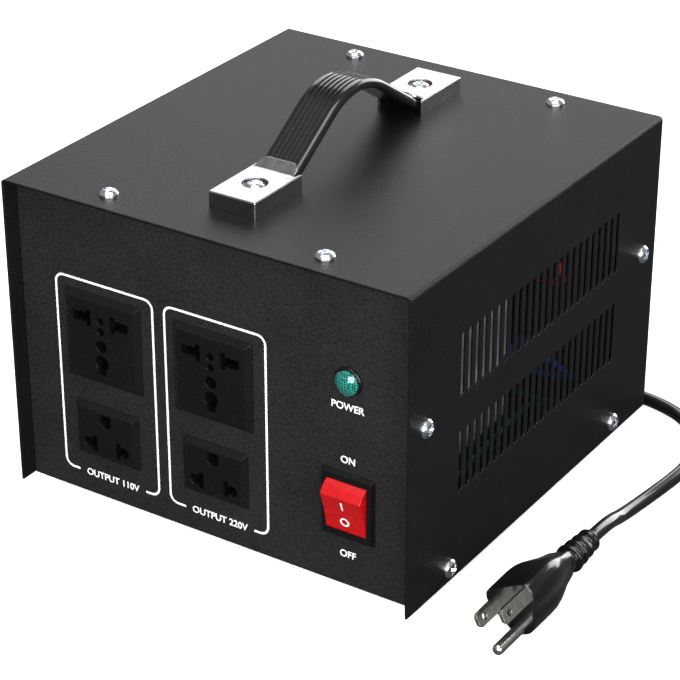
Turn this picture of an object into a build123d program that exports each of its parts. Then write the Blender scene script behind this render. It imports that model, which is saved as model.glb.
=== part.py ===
from build123d import *
import math
import os

os.makedirs("parts", exist_ok=True)

# Travel voltage converter: a folded steel housing round a heavy transformer, with two columns of
# outlets, a pilot lamp and a rocker switch in front, a strap handle on top and a mains lead behind.
# Millimetres. +X is the viewer's right, the front faces -Y, +Z is up. The origin is on the floor,
# under the middle of the housing.

# Housing
WIDTH = 200.0
DEPTH = 210.0
TOP = 151.0
COVER_SHEET = 1.0
TRAY_SHEET = 1.2
FOOT_HEIGHT = 5.0
COVER_LIFT = 1.0
RECESS = 8.0
FIT = 0.3
OVERRUN = 2.0
COVER_BEND = 1.8
TRAY_BEND = 2.2
FLANGE = 12.0
TRAY_LIP = 14.0
FLANGE_INSET = 3.0

# Vent slots
SLOT_COUNT = 24
SLOT_PITCH = 5.72
SLOT_WIDTH = 3.2
SLOT_LENGTH = 29.0
SLOT_MIDDLE = 1.0
SLOT_ROWS = (60.5, 104.9)

# Sheet screws
SCREW_HEAD = 8.4
SCREW_HEAD_RISE = 2.5
SCREW_SHANK = 3.5
SCREW_LENGTH = 8.0
SCREW_PLAY = 0.15
SCREW_EDGE = 4.4
TOP_SCREW_X = 53.0
SIDE_SCREW_Z = 89.0
LOW_SCREW_Y = 72.0
LOW_SCREW_Z = 12.6

# Handle
HANDLE_SCREW_Y = 64.0
STRAP_WIDTH = 19.0
STRAP_THICK = 4.5
STRAP_END = 78.0
STRAP_CREST = 31.4
STRAP_SLOPE = 33.0
STRAP_CREST_RADIUS = 35.0
STRAP_FOOT_RADIUS = 12.0
STRAP_EDGE_RADIUS = 1.9
STRAP_GROOVES = 6
STRAP_GROOVE_WIDTH = 1.0
STRAP_GROOVE_DEPTH = 0.5
STRAP_GROOVE_PITCH = 2.25
CAP_WIDTH = 23.0
CAP_OUTER = 80.5
CAP_INNER = 47.0
CAP_RISE = 7.5
CAP_WALL = 1.0
CAP_CORNER = 0.6
CAP_LIP = 6.2
CAP_LIP_CORNER = 4.0
DIMPLE = 11.0
HANDLE_SCREW = 5.0
HANDLE_HEAD = 9.0
HANDLE_HEAD_RISE = 2.4
HANDLE_SCREW_LENGTH = 14.0
NUT_ACROSS = 8.0
NUT_THICK = 4.0
WASHER = 12.0
WASHER_THICK = 1.0

# Outlets
COLUMNS = (-55.8, 0.8)
UPPER_Z = 84.3
LOWER_Z = 39.0
UPPER_WIDTH = 40.0
UPPER_HEIGHT = 42.0
LOWER_WIDTH = 33.6
LOWER_HEIGHT = 26.7
PLATE_RISE = 2.2
PLATE_BEVEL = 2.8
PLATE_OVERLAP = 1.2
OUTLET_DEPTH = 20.0
POCKET_DEPTH = 16.0
CATCH_LENGTH = 10.0
CATCH_REACH = 0.8
CATCH_DEPTH = 5.0

# Pin patterns of the outlets
UPPER_PIN_Z = 94.2
LOWER_PIN_Z = 33.2
BLADE_PITCH = 12.7
BLADE_SLOT = 2.6
BLADE_SLOT_HEIGHT = 8.0
ROUND_PITCH = 19.0
ROUND_HOLE = 5.2
SQUARE_PIN_PITCH = 21.8
SQUARE_SLOT = 7.2
SQUARE_SLOT_HEIGHT = 4.4
EARTH_DROP = 11.9
EARTH_HOLE = 5.8
LONG_EARTH_DROP = 19.8
LONG_EARTH_HOLE = 6.8
LONG_EARTH_SLOT = 4.4
LONG_EARTH_TAIL = 6.0
MIDDLE_HOLE = 3.6
MIDDLE_HOLE_STEP = 4.8
CONTACT_THICK = 0.8
CONTACT_WIDTH = 5.0
CONTACT_PLAY = 0.1
TAB_LENGTH = 9.0

# Pilot lamp
CONTROL_INSET = 33.1
LAMP_X = WIDTH / 2 - CONTROL_INSET
LAMP_Z = 102.0
LAMP_RING = 13.0
LAMP_RING_RISE = 1.4
LAMP_BARREL = 9.8
LAMP_BARREL_LENGTH = 24.0
LAMP_LENS = 10.8
LAMP_LENS_RISE = 3.6
LAMP_NUT = 14.0
LAMP_NUT_THICK = 3.0

# Rocker switch
SWITCH_X = LAMP_X
SWITCH_Z = 44.5
BEZEL_WIDTH = 25.6
BEZEL_HEIGHT = 31.0
BEZEL_RISE = 2.0
BEZEL_EDGE = 1.0
SWITCH_BODY_WIDTH = 22.0
SWITCH_BODY_HEIGHT = 28.6
SWITCH_BODY_DEPTH = 24.0
SWITCH_BACK = 3.0
ROCKER_WIDTH = 19.0
ROCKER_HALF = 9.2
ROCKER_REACH = 9.5
ROCKER_TILT = 15.0
ROCKER_SKIRT = 32.0
ROCKER_CLEAR = 0.3
ROCKER_HUB = 6.0
TRUNNION = 3.0
TRUNNION_PLAY = 0.08
TRUNNION_LENGTH = 0.9
SWITCH_TAB_PITCH = 7.0

# Transformer
CORE_SHARE = 0.665
CORE_WIDTH = WIDTH * CORE_SHARE
CORE_HEIGHT = 111.0
CORE_STACK = 60.0
CORE_LEG = 22.0
CORE_Y = 2.0
CORE_CORNER = 1.0
RAIL_WIDTH = 20.0
RAIL_HEIGHT = 18.0
RAIL_LENGTH = 76.0
RAIL_WALL = 3.0
COIL_PLAY = 0.5
COIL_OVERHANG = 22.0
COIL_CORNER = 9.0
COIL_STEP = 1.2
COIL_BAND = 26.0
CLAMP_SHEET = 3.0
CLAMP_RISE = 34.0
CLAMP_FOOT = 16.0
CORE_BOLT = 5.0
CORE_BOLT_INSET = 8.0
CORE_BOLT_HEAD_RISE = 3.5

# Rear fittings
GLAND_X = -74.0
GLAND_Z = 18.0
GLAND_FLANGE = 19.0
GLAND_FLANGE_THICK = 3.0
GLAND_BARREL = 14.0
GLAND_BARREL_LENGTH = 12.0
GLAND_TAPER_LENGTH = 24.0
GLAND_TAPER_END = 9.0
GLAND_GROOVES = 4
GLAND_GROOVE_WIDTH = 1.6
GLAND_GROOVE_DEPTH = 1.0
SELECTOR_X = -40.0
SELECTOR_Z = 95.0
SELECTOR_WIDTH = 24.0
SELECTOR_HEIGHT = 13.0
SELECTOR_DEPTH = 12.0
SELECTOR_FLANGE = 38.0
SELECTOR_FLANGE_THICK = 1.0
SELECTOR_SCREW_PITCH = 30.0
SELECTOR_SCREW = 2.8
SELECTOR_SCREW_HEAD = 5.4
SELECTOR_SCREW_RISE = 1.6
SELECTOR_SCREW_LENGTH = 6.0
SLIDER_WIDTH = 8.0
SLIDER_HEIGHT = 7.0
SLIDER_TRAVEL = 6.0
SLIDER_SOLE = 2.0
SLIDER_SOLE_SIDE = 1.5
SLIDER_CLEAR = 0.3
SLIDER_PROUD = 1.2
BREAKER_X = 42.0
BREAKER_Z = 70.0
BREAKER_WIDTH = 15.0
BREAKER_HEIGHT = 34.0
BREAKER_DEPTH = 26.0
BREAKER_NECK = 11.0
BREAKER_NECK_LENGTH = 6.5
BREAKER_NUT = 15.0
BREAKER_NUT_THICK = 2.5
BREAKER_BUTTON = 6.6
BREAKER_BUTTON_PROUD = 2.5
BREAKER_BUTTON_STROKE = 3.0
BREAKER_CLEAR = 0.3

# Feet
FOOT_X = 76.0
FOOT_Y = 80.0
FOOT_TOP = 17.0
FOOT_BOTTOM = 14.0
FOOT_POCKET = 9.0
FOOT_POCKET_DEPTH = 3.0

# Mains lead and plug
CORD = 6.2
HALF_TURNS = 11
CLIMB_AT = 5
COIL_OUTER_RADIUS = 45.0
COIL_HALF_PITCH = 4.0
COIL_LAYER = 6.8
COIL_START_Y = 190.0
PLUG_X = 137.0
PLUG_END_Y = -18.0
PLUG_HEIGHT = 11.0
PLUG_BOOT = 24.0
PLUG_BODY = 40.0
PLUG_SHOULDER = 18.0
PLUG_HALF = 11.4
PLUG_HALF_WIDTH = 12.0
PLUG_EARTH_RADIUS = 7.0
PLUG_BLADE_RISE = 5.0
PLUG_ROLL = 28.0
PLUG_NECK_SHARE = 0.58
PLUG_BOOT_CORE = 9.4
PLUG_RING = 14.5
PLUG_RINGS = 4
PLUG_RING_WIDTH = 2.2
PLUG_BLADE_WIDTH = 6.35
PLUG_BLADE_THICK = 1.52
PLUG_BLADE_LENGTH = 17.0
PLUG_BLADE_HOLE = 3.1
PLUG_BLADE_HOLE_INSET = 5.0
PLUG_PIN = 4.8
PLUG_PIN_LENGTH = 21.0
PLUG_EMBED = 8.0

# The lead's route outside the housing, and the share of a run that an arc may take from each end
RUN_SHARE = 0.45
LEAD_STRAIGHT = 20.0
LEAD_END_ROUTE = [
    (16.0, 190.0, 9.9),
    (16.0, 167.0, 9.9),
    (21.0, 141.0, 3.1),
    (38.0, 121.0, 3.1),
    (64.0, 113.5, 3.1),
    (95.0, 117.0, 3.1),
    (123.0, 108.0, 3.1),
    (142.2, 82.0, 3.1),
    (134.6, 17.0, 3.1),
    (137.0, -2.0, 11.0),
    (137.0, -18.0, 11.0),
]

# Leads inside the housing
WIRE = 2.6
WIRE_BEND = 5.0
LINK_REACH = 8.0
OVER_COIL = 12.0

# Places that follow from the sizes above
TRAY_BOTTOM = FOOT_HEIGHT
TRAY_FLOOR = TRAY_BOTTOM + TRAY_SHEET
COVER_EDGE = TRAY_BOTTOM + COVER_LIFT
COVER_INNER = TOP - COVER_SHEET
INNER_X = WIDTH / 2 - COVER_SHEET - FIT
PANEL_TOP = COVER_INNER - FIT
FRONT = -DEPTH / 2 + RECESS
REAR = DEPTH / 2 - RECESS
FLANGE_SCREW_Y = REAR - SCREW_EDGE
CORE_BOTTOM = TRAY_FLOOR + RAIL_HEIGHT
CORE_TOP = CORE_BOTTOM + CORE_HEIGHT
CORE_FRONT = CORE_Y - CORE_STACK / 2
CORE_BACK = CORE_Y + CORE_STACK / 2
COIL_TOP = CORE_TOP - CORE_LEG - COIL_PLAY
SIDE_RUN_X = (CORE_WIDTH / 2 + INNER_X) / 2
OUTLET_TABS_Y = FRONT + OUTLET_DEPTH + TAB_LENGTH
SWITCH_TABS_Y = FRONT + SWITCH_BODY_DEPTH + TAB_LENGTH
BREAKER_TABS_Y = REAR - TRAY_SHEET - BREAKER_DEPTH - TAB_LENGTH / 2
SELECTOR_TABS_Y = REAR - TRAY_SHEET - SELECTOR_DEPTH - TAB_LENGTH / 2
GLAND_INNER = REAR - GLAND_BARREL_LENGTH
GLAND_END = REAR + GLAND_FLANGE_THICK + GLAND_TAPER_LENGTH
REAR_RUN_Y = (CORE_BACK + COIL_OVERHANG + GLAND_INNER) / 2
COIL_MIDDLE = (GLAND_X + COIL_OUTER_RADIUS, COIL_START_Y + CORD)
LEAD_START_ROUTE = [
    (GLAND_X, GLAND_END, GLAND_Z),
    (GLAND_X, GLAND_END + LEAD_STRAIGHT, GLAND_Z),
    (GLAND_X, COIL_START_Y - LEAD_STRAIGHT, CORD / 2),
    (GLAND_X, COIL_START_Y, CORD / 2),
]
ROCKER_RADIUS = math.hypot(ROCKER_HALF, ROCKER_REACH)
ROCKER_ANGLE = math.degrees(math.atan2(ROCKER_HALF, ROCKER_REACH))
BEZEL_FACE = FRONT - BEZEL_RISE
FLUSH_DEPTH = ROCKER_RADIUS * math.cos(math.radians(ROCKER_ANGLE + ROCKER_TILT))
MOUTH_HALF = ROCKER_RADIUS * math.sin(math.radians(ROCKER_ANGLE + ROCKER_TILT)) + ROCKER_CLEAR
PIVOT = (SWITCH_X, BEZEL_FACE + FLUSH_DEPTH, SWITCH_Z)


def block(x0, x1, y0, y1, z0, z1):
    """A box between its lowest and highest places."""
    return Pos((x0 + x1) / 2, (y0 + y1) / 2, (z0 + z1) / 2) * Box(x1 - x0, y1 - y0, z1 - z0)


def rod(radius, start, end):
    """A round bar between two places."""
    a, b = Vector(*start), Vector(*end)
    middle = (a + b) * (1 / 2)
    return Plane(origin=middle, z_dir=b - a) * Cylinder(radius, (b - a).length)


def save(shape, node):
    """Writes one named piece."""
    shape.label = node
    export_step(shape, f"parts/{node}.step")


def group(pieces):
    """Equal loose pieces kept under one name."""
    return Compound(children=list(pieces))


def flange_screw_places():
    """Middle of each screw's head seat and the way it is driven, for the cover's twelve screws."""
    top = []
    sides = []
    for y in (-FLANGE_SCREW_Y, FLANGE_SCREW_Y):
        for x in (-TOP_SCREW_X, TOP_SCREW_X):
            top.append(((x, y, TOP), (0, 0, -1)))
    for way in (-1, 1):
        for y in (-FLANGE_SCREW_Y, FLANGE_SCREW_Y):
            sides.append(((way * WIDTH / 2, y, SIDE_SCREW_Z), (-way, 0, 0)))
        for y in (-LOW_SCREW_Y, LOW_SCREW_Y):
            sides.append(((way * WIDTH / 2, y, LOW_SCREW_Z), (-way, 0, 0)))
    return top, sides


def drill(place, way, radius, depth):
    """A round cutter from just outside a face into it."""
    a = Vector(*place)
    w = Vector(*way)
    return rod(radius, a - w * OVERRUN, a + w * depth)


def dome_arc(radius, low, high):
    """Half the outline of a spherical cap, from its rim to its crown."""
    rise = high - low
    ball = (radius ** 2 + rise ** 2) / (2 * rise)
    half = math.asin(radius / ball) / 2
    middle = (ball * math.sin(half), high - ball + ball * math.cos(half))
    return ThreePointArc((radius, low), middle, (0, high))


def hexagon(across, height):
    """A hexagonal block on the ground plane."""
    return extrude(RegularPolygon(across / 2, 6, major_radius=False), height)


def pan_screw(place, way, head, rise, shank, length):
    """A pan head with a slightly domed top, and its plain shank."""
    profile = make_face(
        Polyline((0, -length), (shank / 2, -length), (shank / 2, 0), (head / 2, 0), (head / 2, rise / 3))
        + dome_arc(head / 2, rise / 3, rise)
        + Line((0, rise), (0, -length))
    )
    screw = revolve(Plane.XZ * profile, Axis.Z)
    return Plane(origin=Vector(*place), z_dir=Vector(*way) * -1) * screw


# The cover is one sheet folded down at both sides
def vent_slots():
    """Cutters for two rows of round-ended slots through both sides."""
    outline = Plane.YZ * SlotOverall(SLOT_LENGTH, SLOT_WIDTH, rotation=90)
    slot = extrude(outline, WIDTH / 2 + OVERRUN, both=True)
    first = SLOT_MIDDLE - SLOT_PITCH * (SLOT_COUNT - 1) / 2
    return [Pos(0, first + SLOT_PITCH * i, z) * slot for z in SLOT_ROWS for i in range(SLOT_COUNT)]


def make_cover():
    outer = Pos(0, 0, (TOP + COVER_EDGE) / 2) * Box(WIDTH, DEPTH, TOP - COVER_EDGE)
    edges = outer.edges().filter_by(Axis.Y).group_by(Axis.Z)[-1]
    outer = fillet(edges, COVER_BEND)
    half_x, half_y = WIDTH / 2 - COVER_SHEET, DEPTH / 2 + OVERRUN
    inner = block(-half_x, half_x, -half_y, half_y, COVER_EDGE - OVERRUN, COVER_INNER)
    inner = fillet(inner.edges().filter_by(Axis.Y).group_by(Axis.Z)[-1], COVER_BEND - COVER_SHEET)
    cover = outer - inner - vent_slots()
    top, sides = flange_screw_places()
    holes = [drill(p, w, SCREW_SHANK / 2 + SCREW_PLAY, COVER_SHEET + OVERRUN) for p, w in top + sides]
    holes += [drill((0, y, TOP), (0, 0, -1), HANDLE_SCREW / 2 + SCREW_PLAY, COVER_SHEET + OVERRUN)
              for y in (-HANDLE_SCREW_Y, HANDLE_SCREW_Y)]
    return cover - holes


# The chassis is one sheet folded into tray, front panel and rear panel, with flanges for the cover
def make_chassis():
    outer = Pos(0, 0, (PANEL_TOP + TRAY_BOTTOM) / 2) * Box(2 * INNER_X, 2 * REAR, PANEL_TOP - TRAY_BOTTOM)
    outer = fillet(outer.edges().filter_by(Axis.X), TRAY_BEND)
    inner = block(-INNER_X - OVERRUN, INNER_X + OVERRUN, FRONT + TRAY_SHEET, REAR - TRAY_SHEET,
                  TRAY_FLOOR, PANEL_TOP - TRAY_SHEET)
    inner = fillet(inner.edges().filter_by(Axis.X), TRAY_BEND - TRAY_SHEET)
    mouth = block(-INNER_X - OVERRUN, INNER_X + OVERRUN, FRONT + FLANGE, REAR - FLANGE,
                  PANEL_TOP - TRAY_SHEET - OVERRUN, PANEL_TOP + OVERRUN)
    chassis = outer - inner - mouth
    for way in (-1, 1):
        x0, x1 = sorted((way * INNER_X, way * (INNER_X - TRAY_SHEET)))
        low, high = TRAY_FLOOR + FLANGE_INSET, PANEL_TOP - TRAY_SHEET - FLANGE_INSET
        chassis += block(x0, x1, FRONT + TRAY_SHEET, FRONT + FLANGE, low, high)
        chassis += block(x0, x1, REAR - FLANGE, REAR - TRAY_SHEET, low, high)
        chassis += block(x0, x1, FRONT + FLANGE + FLANGE_INSET, REAR - FLANGE - FLANGE_INSET,
                         TRAY_FLOOR, TRAY_BOTTOM + TRAY_LIP)
    top, sides = flange_screw_places()
    cutters = [drill(p, w, SCREW_SHANK / 2, COVER_SHEET + TRAY_SHEET + OVERRUN) for p, w in top + sides]
    cutters += panel_openings()
    return chassis - cutters


def panel_window(x, z, width, height, face):
    """A square-cornered opening through the front or rear panel."""
    return Pos(x, face, z) * Box(width, 2 * (TRAY_SHEET + OVERRUN), height)


def panel_hole(x, z, diameter, face):
    """A round opening through the front or rear panel."""
    reach = TRAY_SHEET + OVERRUN
    return rod(diameter / 2, (x, face - reach, z), (x, face + reach, z))


def panel_openings():
    """Everything that is cut through the chassis besides the cover's screw holes."""
    cuts = []
    for x in COLUMNS:
        for z, width, height in ((UPPER_Z, UPPER_WIDTH, UPPER_HEIGHT), (LOWER_Z, LOWER_WIDTH, LOWER_HEIGHT)):
            cuts.append(panel_window(x, z, width - 2 * PLATE_OVERLAP, height - 2 * PLATE_OVERLAP, FRONT))
    cuts.append(panel_hole(LAMP_X, LAMP_Z, LAMP_BARREL + 2 * SCREW_PLAY, FRONT))
    cuts.append(panel_window(SWITCH_X, SWITCH_Z, SWITCH_BODY_WIDTH + FIT, SWITCH_BODY_HEIGHT + FIT, FRONT))
    cuts.append(panel_hole(GLAND_X, GLAND_Z, GLAND_BARREL + 2 * SCREW_PLAY, REAR))
    cuts.append(panel_window(SELECTOR_X, SELECTOR_Z, SLIDER_WIDTH + SLIDER_TRAVEL + 2 * SLIDER_CLEAR,
                             SLIDER_HEIGHT + 2 * SLIDER_CLEAR, REAR))
    for way in (-1, 1):
        x = SELECTOR_X + way * SELECTOR_SCREW_PITCH / 2
        cuts.append(panel_hole(x, SELECTOR_Z, SELECTOR_SCREW, REAR))
    cuts.append(panel_hole(BREAKER_X, BREAKER_Z, BREAKER_NECK + 2 * SCREW_PLAY, REAR))
    for x, y in foot_places():
        cuts.append(rod(SCREW_SHANK / 2, (x, y, TRAY_BOTTOM - OVERRUN), (x, y, TRAY_FLOOR + OVERRUN)))
    for x, y in clamp_bolt_places():
        cuts.append(rod(CORE_BOLT / 2, (x, y, TRAY_BOTTOM - OVERRUN), (x, y, TRAY_FLOOR + OVERRUN)))
    return cuts


# Feet
def foot_places():
    return [(x, y) for x in (-FOOT_X, FOOT_X) for y in (-FOOT_Y, FOOT_Y)]


def make_foot(x, y):
    foot = loft([Pos(x, y, 0) * Circle(FOOT_BOTTOM / 2), Pos(x, y, FOOT_HEIGHT) * Circle(FOOT_TOP / 2)])
    pocket = rod(FOOT_POCKET / 2, (x, y, -OVERRUN), (x, y, FOOT_POCKET_DEPTH))
    hole = rod(SCREW_SHANK / 2 + SCREW_PLAY, (x, y, 0), (x, y, FOOT_HEIGHT + OVERRUN))
    return foot - pocket - hole


def make_foot_screw(x, y):
    return pan_screw((x, y, FOOT_POCKET_DEPTH), (0, 0, 1), SCREW_HEAD, SCREW_HEAD_RISE, SCREW_SHANK,
                     SCREW_LENGTH)


# Handle
def strap_path(offset):
    """The strap's line from end to end, raised square to itself by the offset."""
    level = TOP + STRAP_THICK / 2
    slope = math.radians(STRAP_SLOPE)
    crest = TOP + STRAP_CREST - STRAP_THICK / 2
    apex = crest + STRAP_CREST_RADIUS * (1 / math.cos(slope) - 1)
    knee = (apex - level) / math.tan(slope)
    shift = offset * math.tan(slope / 2)
    rise = offset / math.cos(slope)
    points = [(-STRAP_END, level + offset), (-knee - shift, level + offset), (0, apex + rise),
              (knee + shift, level + offset), (STRAP_END, level + offset)]
    radii = [STRAP_FOOT_RADIUS - offset, STRAP_CREST_RADIUS + offset, STRAP_FOOT_RADIUS - offset]
    return FilletPolyline(*[Vector(0, y, z) for y, z in points], radius=radii)


def strap_band(low, high, width):
    """A band that follows the strap between two heights of its thickness."""
    under, over = strap_path(low), strap_path(high)
    ends = [Line(under @ 0, over @ 0), Line(under @ 1, over @ 1)]
    side = make_face([*under.edges(), *over.edges(), *ends])
    return extrude(side, width / 2, dir=(1, 0, 0), both=True)


def make_strap():
    """A moulded strap with rounded edges and fine grooves along its top."""
    strap = strap_band(-STRAP_THICK / 2, STRAP_THICK / 2, STRAP_WIDTH)
    ends = [strap.faces().sort_by(Axis.Y)[0], strap.faces().sort_by(Axis.Y)[-1]]
    across = [e for face in ends for e in face.edges()]
    sides = strap.faces().sort_by(Axis.X)[0].edges() + strap.faces().sort_by(Axis.X)[-1].edges()
    long_edges = [e for e in sides if not any(e.is_same(other) for other in across)]
    strap = fillet(long_edges, STRAP_EDGE_RADIUS)
    first = -STRAP_GROOVE_PITCH * (STRAP_GROOVES - 1) / 2
    groove = strap_band(STRAP_THICK / 2 - STRAP_GROOVE_DEPTH, STRAP_THICK, STRAP_GROOVE_WIDTH)
    for i in range(STRAP_GROOVES):
        strap -= Pos(first + STRAP_GROOVE_PITCH * i, 0, 0) * groove
    low, high = TOP - OVERRUN, TOP + STRAP_THICK + OVERRUN
    for y in (-HANDLE_SCREW_Y, HANDLE_SCREW_Y):
        strap -= rod(HANDLE_SCREW / 2 + SCREW_PLAY, (0, y, low), (0, y, high))
    return strap


def make_cap(way):
    """A pressed cap, open below and towards the strap, with a screw dimple and a lip over the strap."""
    roof = TOP + CAP_RISE
    cap = block(-CAP_WIDTH / 2, CAP_WIDTH / 2, CAP_INNER, CAP_OUTER, TOP, roof)
    corners = cap.edges().filter_by(Axis.Z).group_by(Axis.Y)[-1]
    cap = fillet(corners + cap.faces().sort_by(Axis.Z)[-1].edges(), CAP_CORNER)
    bend = CAP_INNER + CAP_RISE * 2 / 5
    half = CAP_WIDTH / 2 - CAP_WALL
    seat, y = TOP + STRAP_THICK, HANDLE_SCREW_Y
    cap -= block(-half, half, CAP_INNER - OVERRUN, CAP_OUTER - CAP_WALL, TOP - OVERRUN, roof - CAP_WALL)
    cap -= block(-half, half, CAP_INNER - OVERRUN, bend, roof - CAP_WALL - OVERRUN, roof + OVERRUN)
    cap += rod(DIMPLE / 2 + CAP_WALL, (0, y, seat), (0, y, roof - CAP_WALL / 2))
    cap -= rod(DIMPLE / 2, (0, y, seat + CAP_WALL), (0, y, roof + OVERRUN))
    cap -= rod(HANDLE_SCREW / 2 + SCREW_PLAY, (0, y, TOP), (0, y, roof))
    cap += cap_lip(roof, bend)
    return cap if way > 0 else mirror(cap, Plane.XZ)


def cap_lip(roof, bend):
    """The roof's edge, turned up along the strap."""
    slope = math.radians(STRAP_SLOPE)
    tip = (bend - CAP_LIP * math.cos(slope), roof - CAP_WALL / 2 + CAP_LIP * math.sin(slope))
    level = roof - CAP_WALL / 2
    line = FilletPolyline(Vector(0, bend + CAP_LIP, level), Vector(0, bend, level), Vector(0, *tip),
                          radius=CAP_LIP)
    start = Plane(origin=line @ 0, x_dir=(1, 0, 0), z_dir=line % 0)
    lip = sweep(start * Rectangle(CAP_WIDTH - 2 * CAP_WALL - 3 * CAP_CORNER, CAP_WALL), path=line)
    ends = lip.edges().filter_by(lambda e: abs(e.length - CAP_WALL) < CAP_WALL / 10).sort_by(Axis.Y)[:2]
    return fillet(ends, CAP_LIP_CORNER)


def make_handle_screw(y):
    seat = TOP + STRAP_THICK + CAP_WALL
    return pan_screw((0, y, seat), (0, 0, -1), HANDLE_HEAD, HANDLE_HEAD_RISE, HANDLE_SCREW,
                     HANDLE_SCREW_LENGTH)


def make_handle_nut(y):
    """A washer and a hexagon nut in one, under the cover's roof."""
    z = COVER_INNER
    low = z - WASHER_THICK - NUT_THICK
    nut = rod(WASHER / 2, (0, y, z - WASHER_THICK), (0, y, z))
    nut += Pos(0, y, low) * hexagon(NUT_ACROSS, NUT_THICK)
    return nut - rod(HANDLE_SCREW / 2, (0, y, low - OVERRUN), (0, y, z + OVERRUN))


# Outlets
def outlet_body(x, z, width, height):
    """A bevelled plate in front of the panel and the moulded body behind it, caught at both sides."""
    face = FRONT - PLATE_RISE
    outline = Plane(origin=(x, FRONT, z), x_dir=(1, 0, 0), z_dir=(0, -1, 0))
    crown = Rectangle(width - 2 * PLATE_BEVEL, height - 2 * PLATE_BEVEL)
    plate = loft([outline * Rectangle(width, height), outline.offset(PLATE_RISE) * crown])
    half_x = width / 2 - PLATE_OVERLAP - FIT
    half_z = height / 2 - PLATE_OVERLAP - FIT
    body = plate + block(x - half_x, x + half_x, FRONT, FRONT + OUTLET_DEPTH, z - half_z, z + half_z)
    for way in (-1, 1):
        catch = Polyline((0, 0), (way * (CATCH_REACH + FIT), 0), (0, CATCH_DEPTH), close=True)
        spot = Pos(x + way * half_x, FRONT + TRAY_SHEET, z - CATCH_LENGTH / 2)
        body += spot * extrude(make_face(catch), CATCH_LENGTH)
    return body, face


def pocket(outline, x, z, face, depth):
    """A cutter of the outline's shape from the plate's face inwards."""
    base = Plane(origin=(x, face - OVERRUN, z), x_dir=(1, 0, 0), z_dir=(0, 1, 0))
    return extrude(base * outline, depth + OVERRUN)


def live_outline(way):
    """One live way of the upper outlet: flat blade, round pin and square pin in one opening."""
    shape = Pos(way * BLADE_PITCH / 2, 0) * Rectangle(BLADE_SLOT, BLADE_SLOT_HEIGHT)
    shape += Pos(way * ROUND_PITCH / 2, 0) * Circle(ROUND_HOLE / 2)
    shape += Pos(way * SQUARE_PIN_PITCH / 2, 0) * Rectangle(SQUARE_SLOT, SQUARE_SLOT_HEIGHT)
    return shape


def contact(x, z, width):
    """A brass leaf in its pocket whose tail passes through the back as a push-on tab."""
    half = CONTACT_THICK / 2
    return block(x - half, x + half, FRONT + POCKET_DEPTH / 2, OUTLET_TABS_Y, z - width / 2, z + width / 2)


def contact_way(x, z, width):
    """The slot that a contact's tail passes through."""
    half = CONTACT_THICK / 2 + CONTACT_PLAY
    return block(x - half, x + half, FRONT, FRONT + OUTLET_DEPTH + OVERRUN, z - width / 2 - CONTACT_PLAY,
                 z + width / 2 + CONTACT_PLAY)


def upper_contact_places(column):
    """The two live contacts and the earth contact of an upper outlet."""
    live = ROUND_PITCH / 2
    return [(column - live, UPPER_PIN_Z), (column + live, UPPER_PIN_Z), (column, UPPER_PIN_Z - EARTH_DROP)]


def lower_contact_places(column):
    """The two live contacts and the earth contact of a lower outlet."""
    live = ROUND_PITCH / 2
    return [(column - live, LOWER_PIN_Z), (column + live, LOWER_PIN_Z), (column, LOWER_PIN_Z + EARTH_DROP)]


def make_upper_outlet(column):
    body, face = outlet_body(column, UPPER_Z, UPPER_WIDTH, UPPER_HEIGHT)
    cuts = [pocket(live_outline(way), column, UPPER_PIN_Z, face, POCKET_DEPTH) for way in (-1, 1)]
    cuts.append(pocket(Circle(EARTH_HOLE / 2), column, UPPER_PIN_Z - EARTH_DROP, face, POCKET_DEPTH))
    earth_z = UPPER_PIN_Z - LONG_EARTH_DROP
    cuts.append(pocket(Circle(LONG_EARTH_HOLE / 2), column, earth_z, face, POCKET_DEPTH))
    cuts.append(block(column - LONG_EARTH_SLOT / 2, column + LONG_EARTH_SLOT / 2, face - OVERRUN,
                      face + POCKET_DEPTH, earth_z - LONG_EARTH_TAIL, earth_z))
    for step in (0, -MIDDLE_HOLE_STEP):
        cuts.append(pocket(Circle(MIDDLE_HOLE / 2), column, UPPER_PIN_Z + step, face, POCKET_DEPTH))
    cuts += [contact_way(x, z, CONTACT_WIDTH) for x, z in upper_contact_places(column)]
    return body - cuts


def make_lower_outlet(column):
    body, face = outlet_body(column, LOWER_Z, LOWER_WIDTH, LOWER_HEIGHT)
    cuts = []
    for way in (-1, 1):
        shape = Pos(way * BLADE_PITCH / 2, 0) * Rectangle(BLADE_SLOT, BLADE_SLOT_HEIGHT)
        shape += Pos(way * ROUND_PITCH / 2, 0) * Circle(ROUND_HOLE / 2)
        bridge = Rectangle((ROUND_PITCH - BLADE_PITCH) / 2, BLADE_SLOT)
        shape += Pos(way * (ROUND_PITCH + BLADE_PITCH) / 4, 0) * bridge
        cuts.append(pocket(shape, column, LOWER_PIN_Z, face, POCKET_DEPTH))
    earth_z = LOWER_PIN_Z + EARTH_DROP
    cuts.append(pocket(Circle(EARTH_HOLE / 2), column, earth_z, face, POCKET_DEPTH))
    cuts.append(block(column - EARTH_HOLE / 2, column + EARTH_HOLE / 2, face - OVERRUN, face + POCKET_DEPTH,
                      earth_z, earth_z + EARTH_HOLE / 2 + PLATE_OVERLAP / 2))
    cuts += [contact_way(x, z, CONTACT_WIDTH) for x, z in lower_contact_places(column)]
    return body - cuts


def make_contacts():
    upper = [contact(x, z, CONTACT_WIDTH) for c in COLUMNS for x, z in upper_contact_places(c)]
    lower = [contact(x, z, CONTACT_WIDTH) for c in COLUMNS for x, z in lower_contact_places(c)]
    return upper, lower


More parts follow.
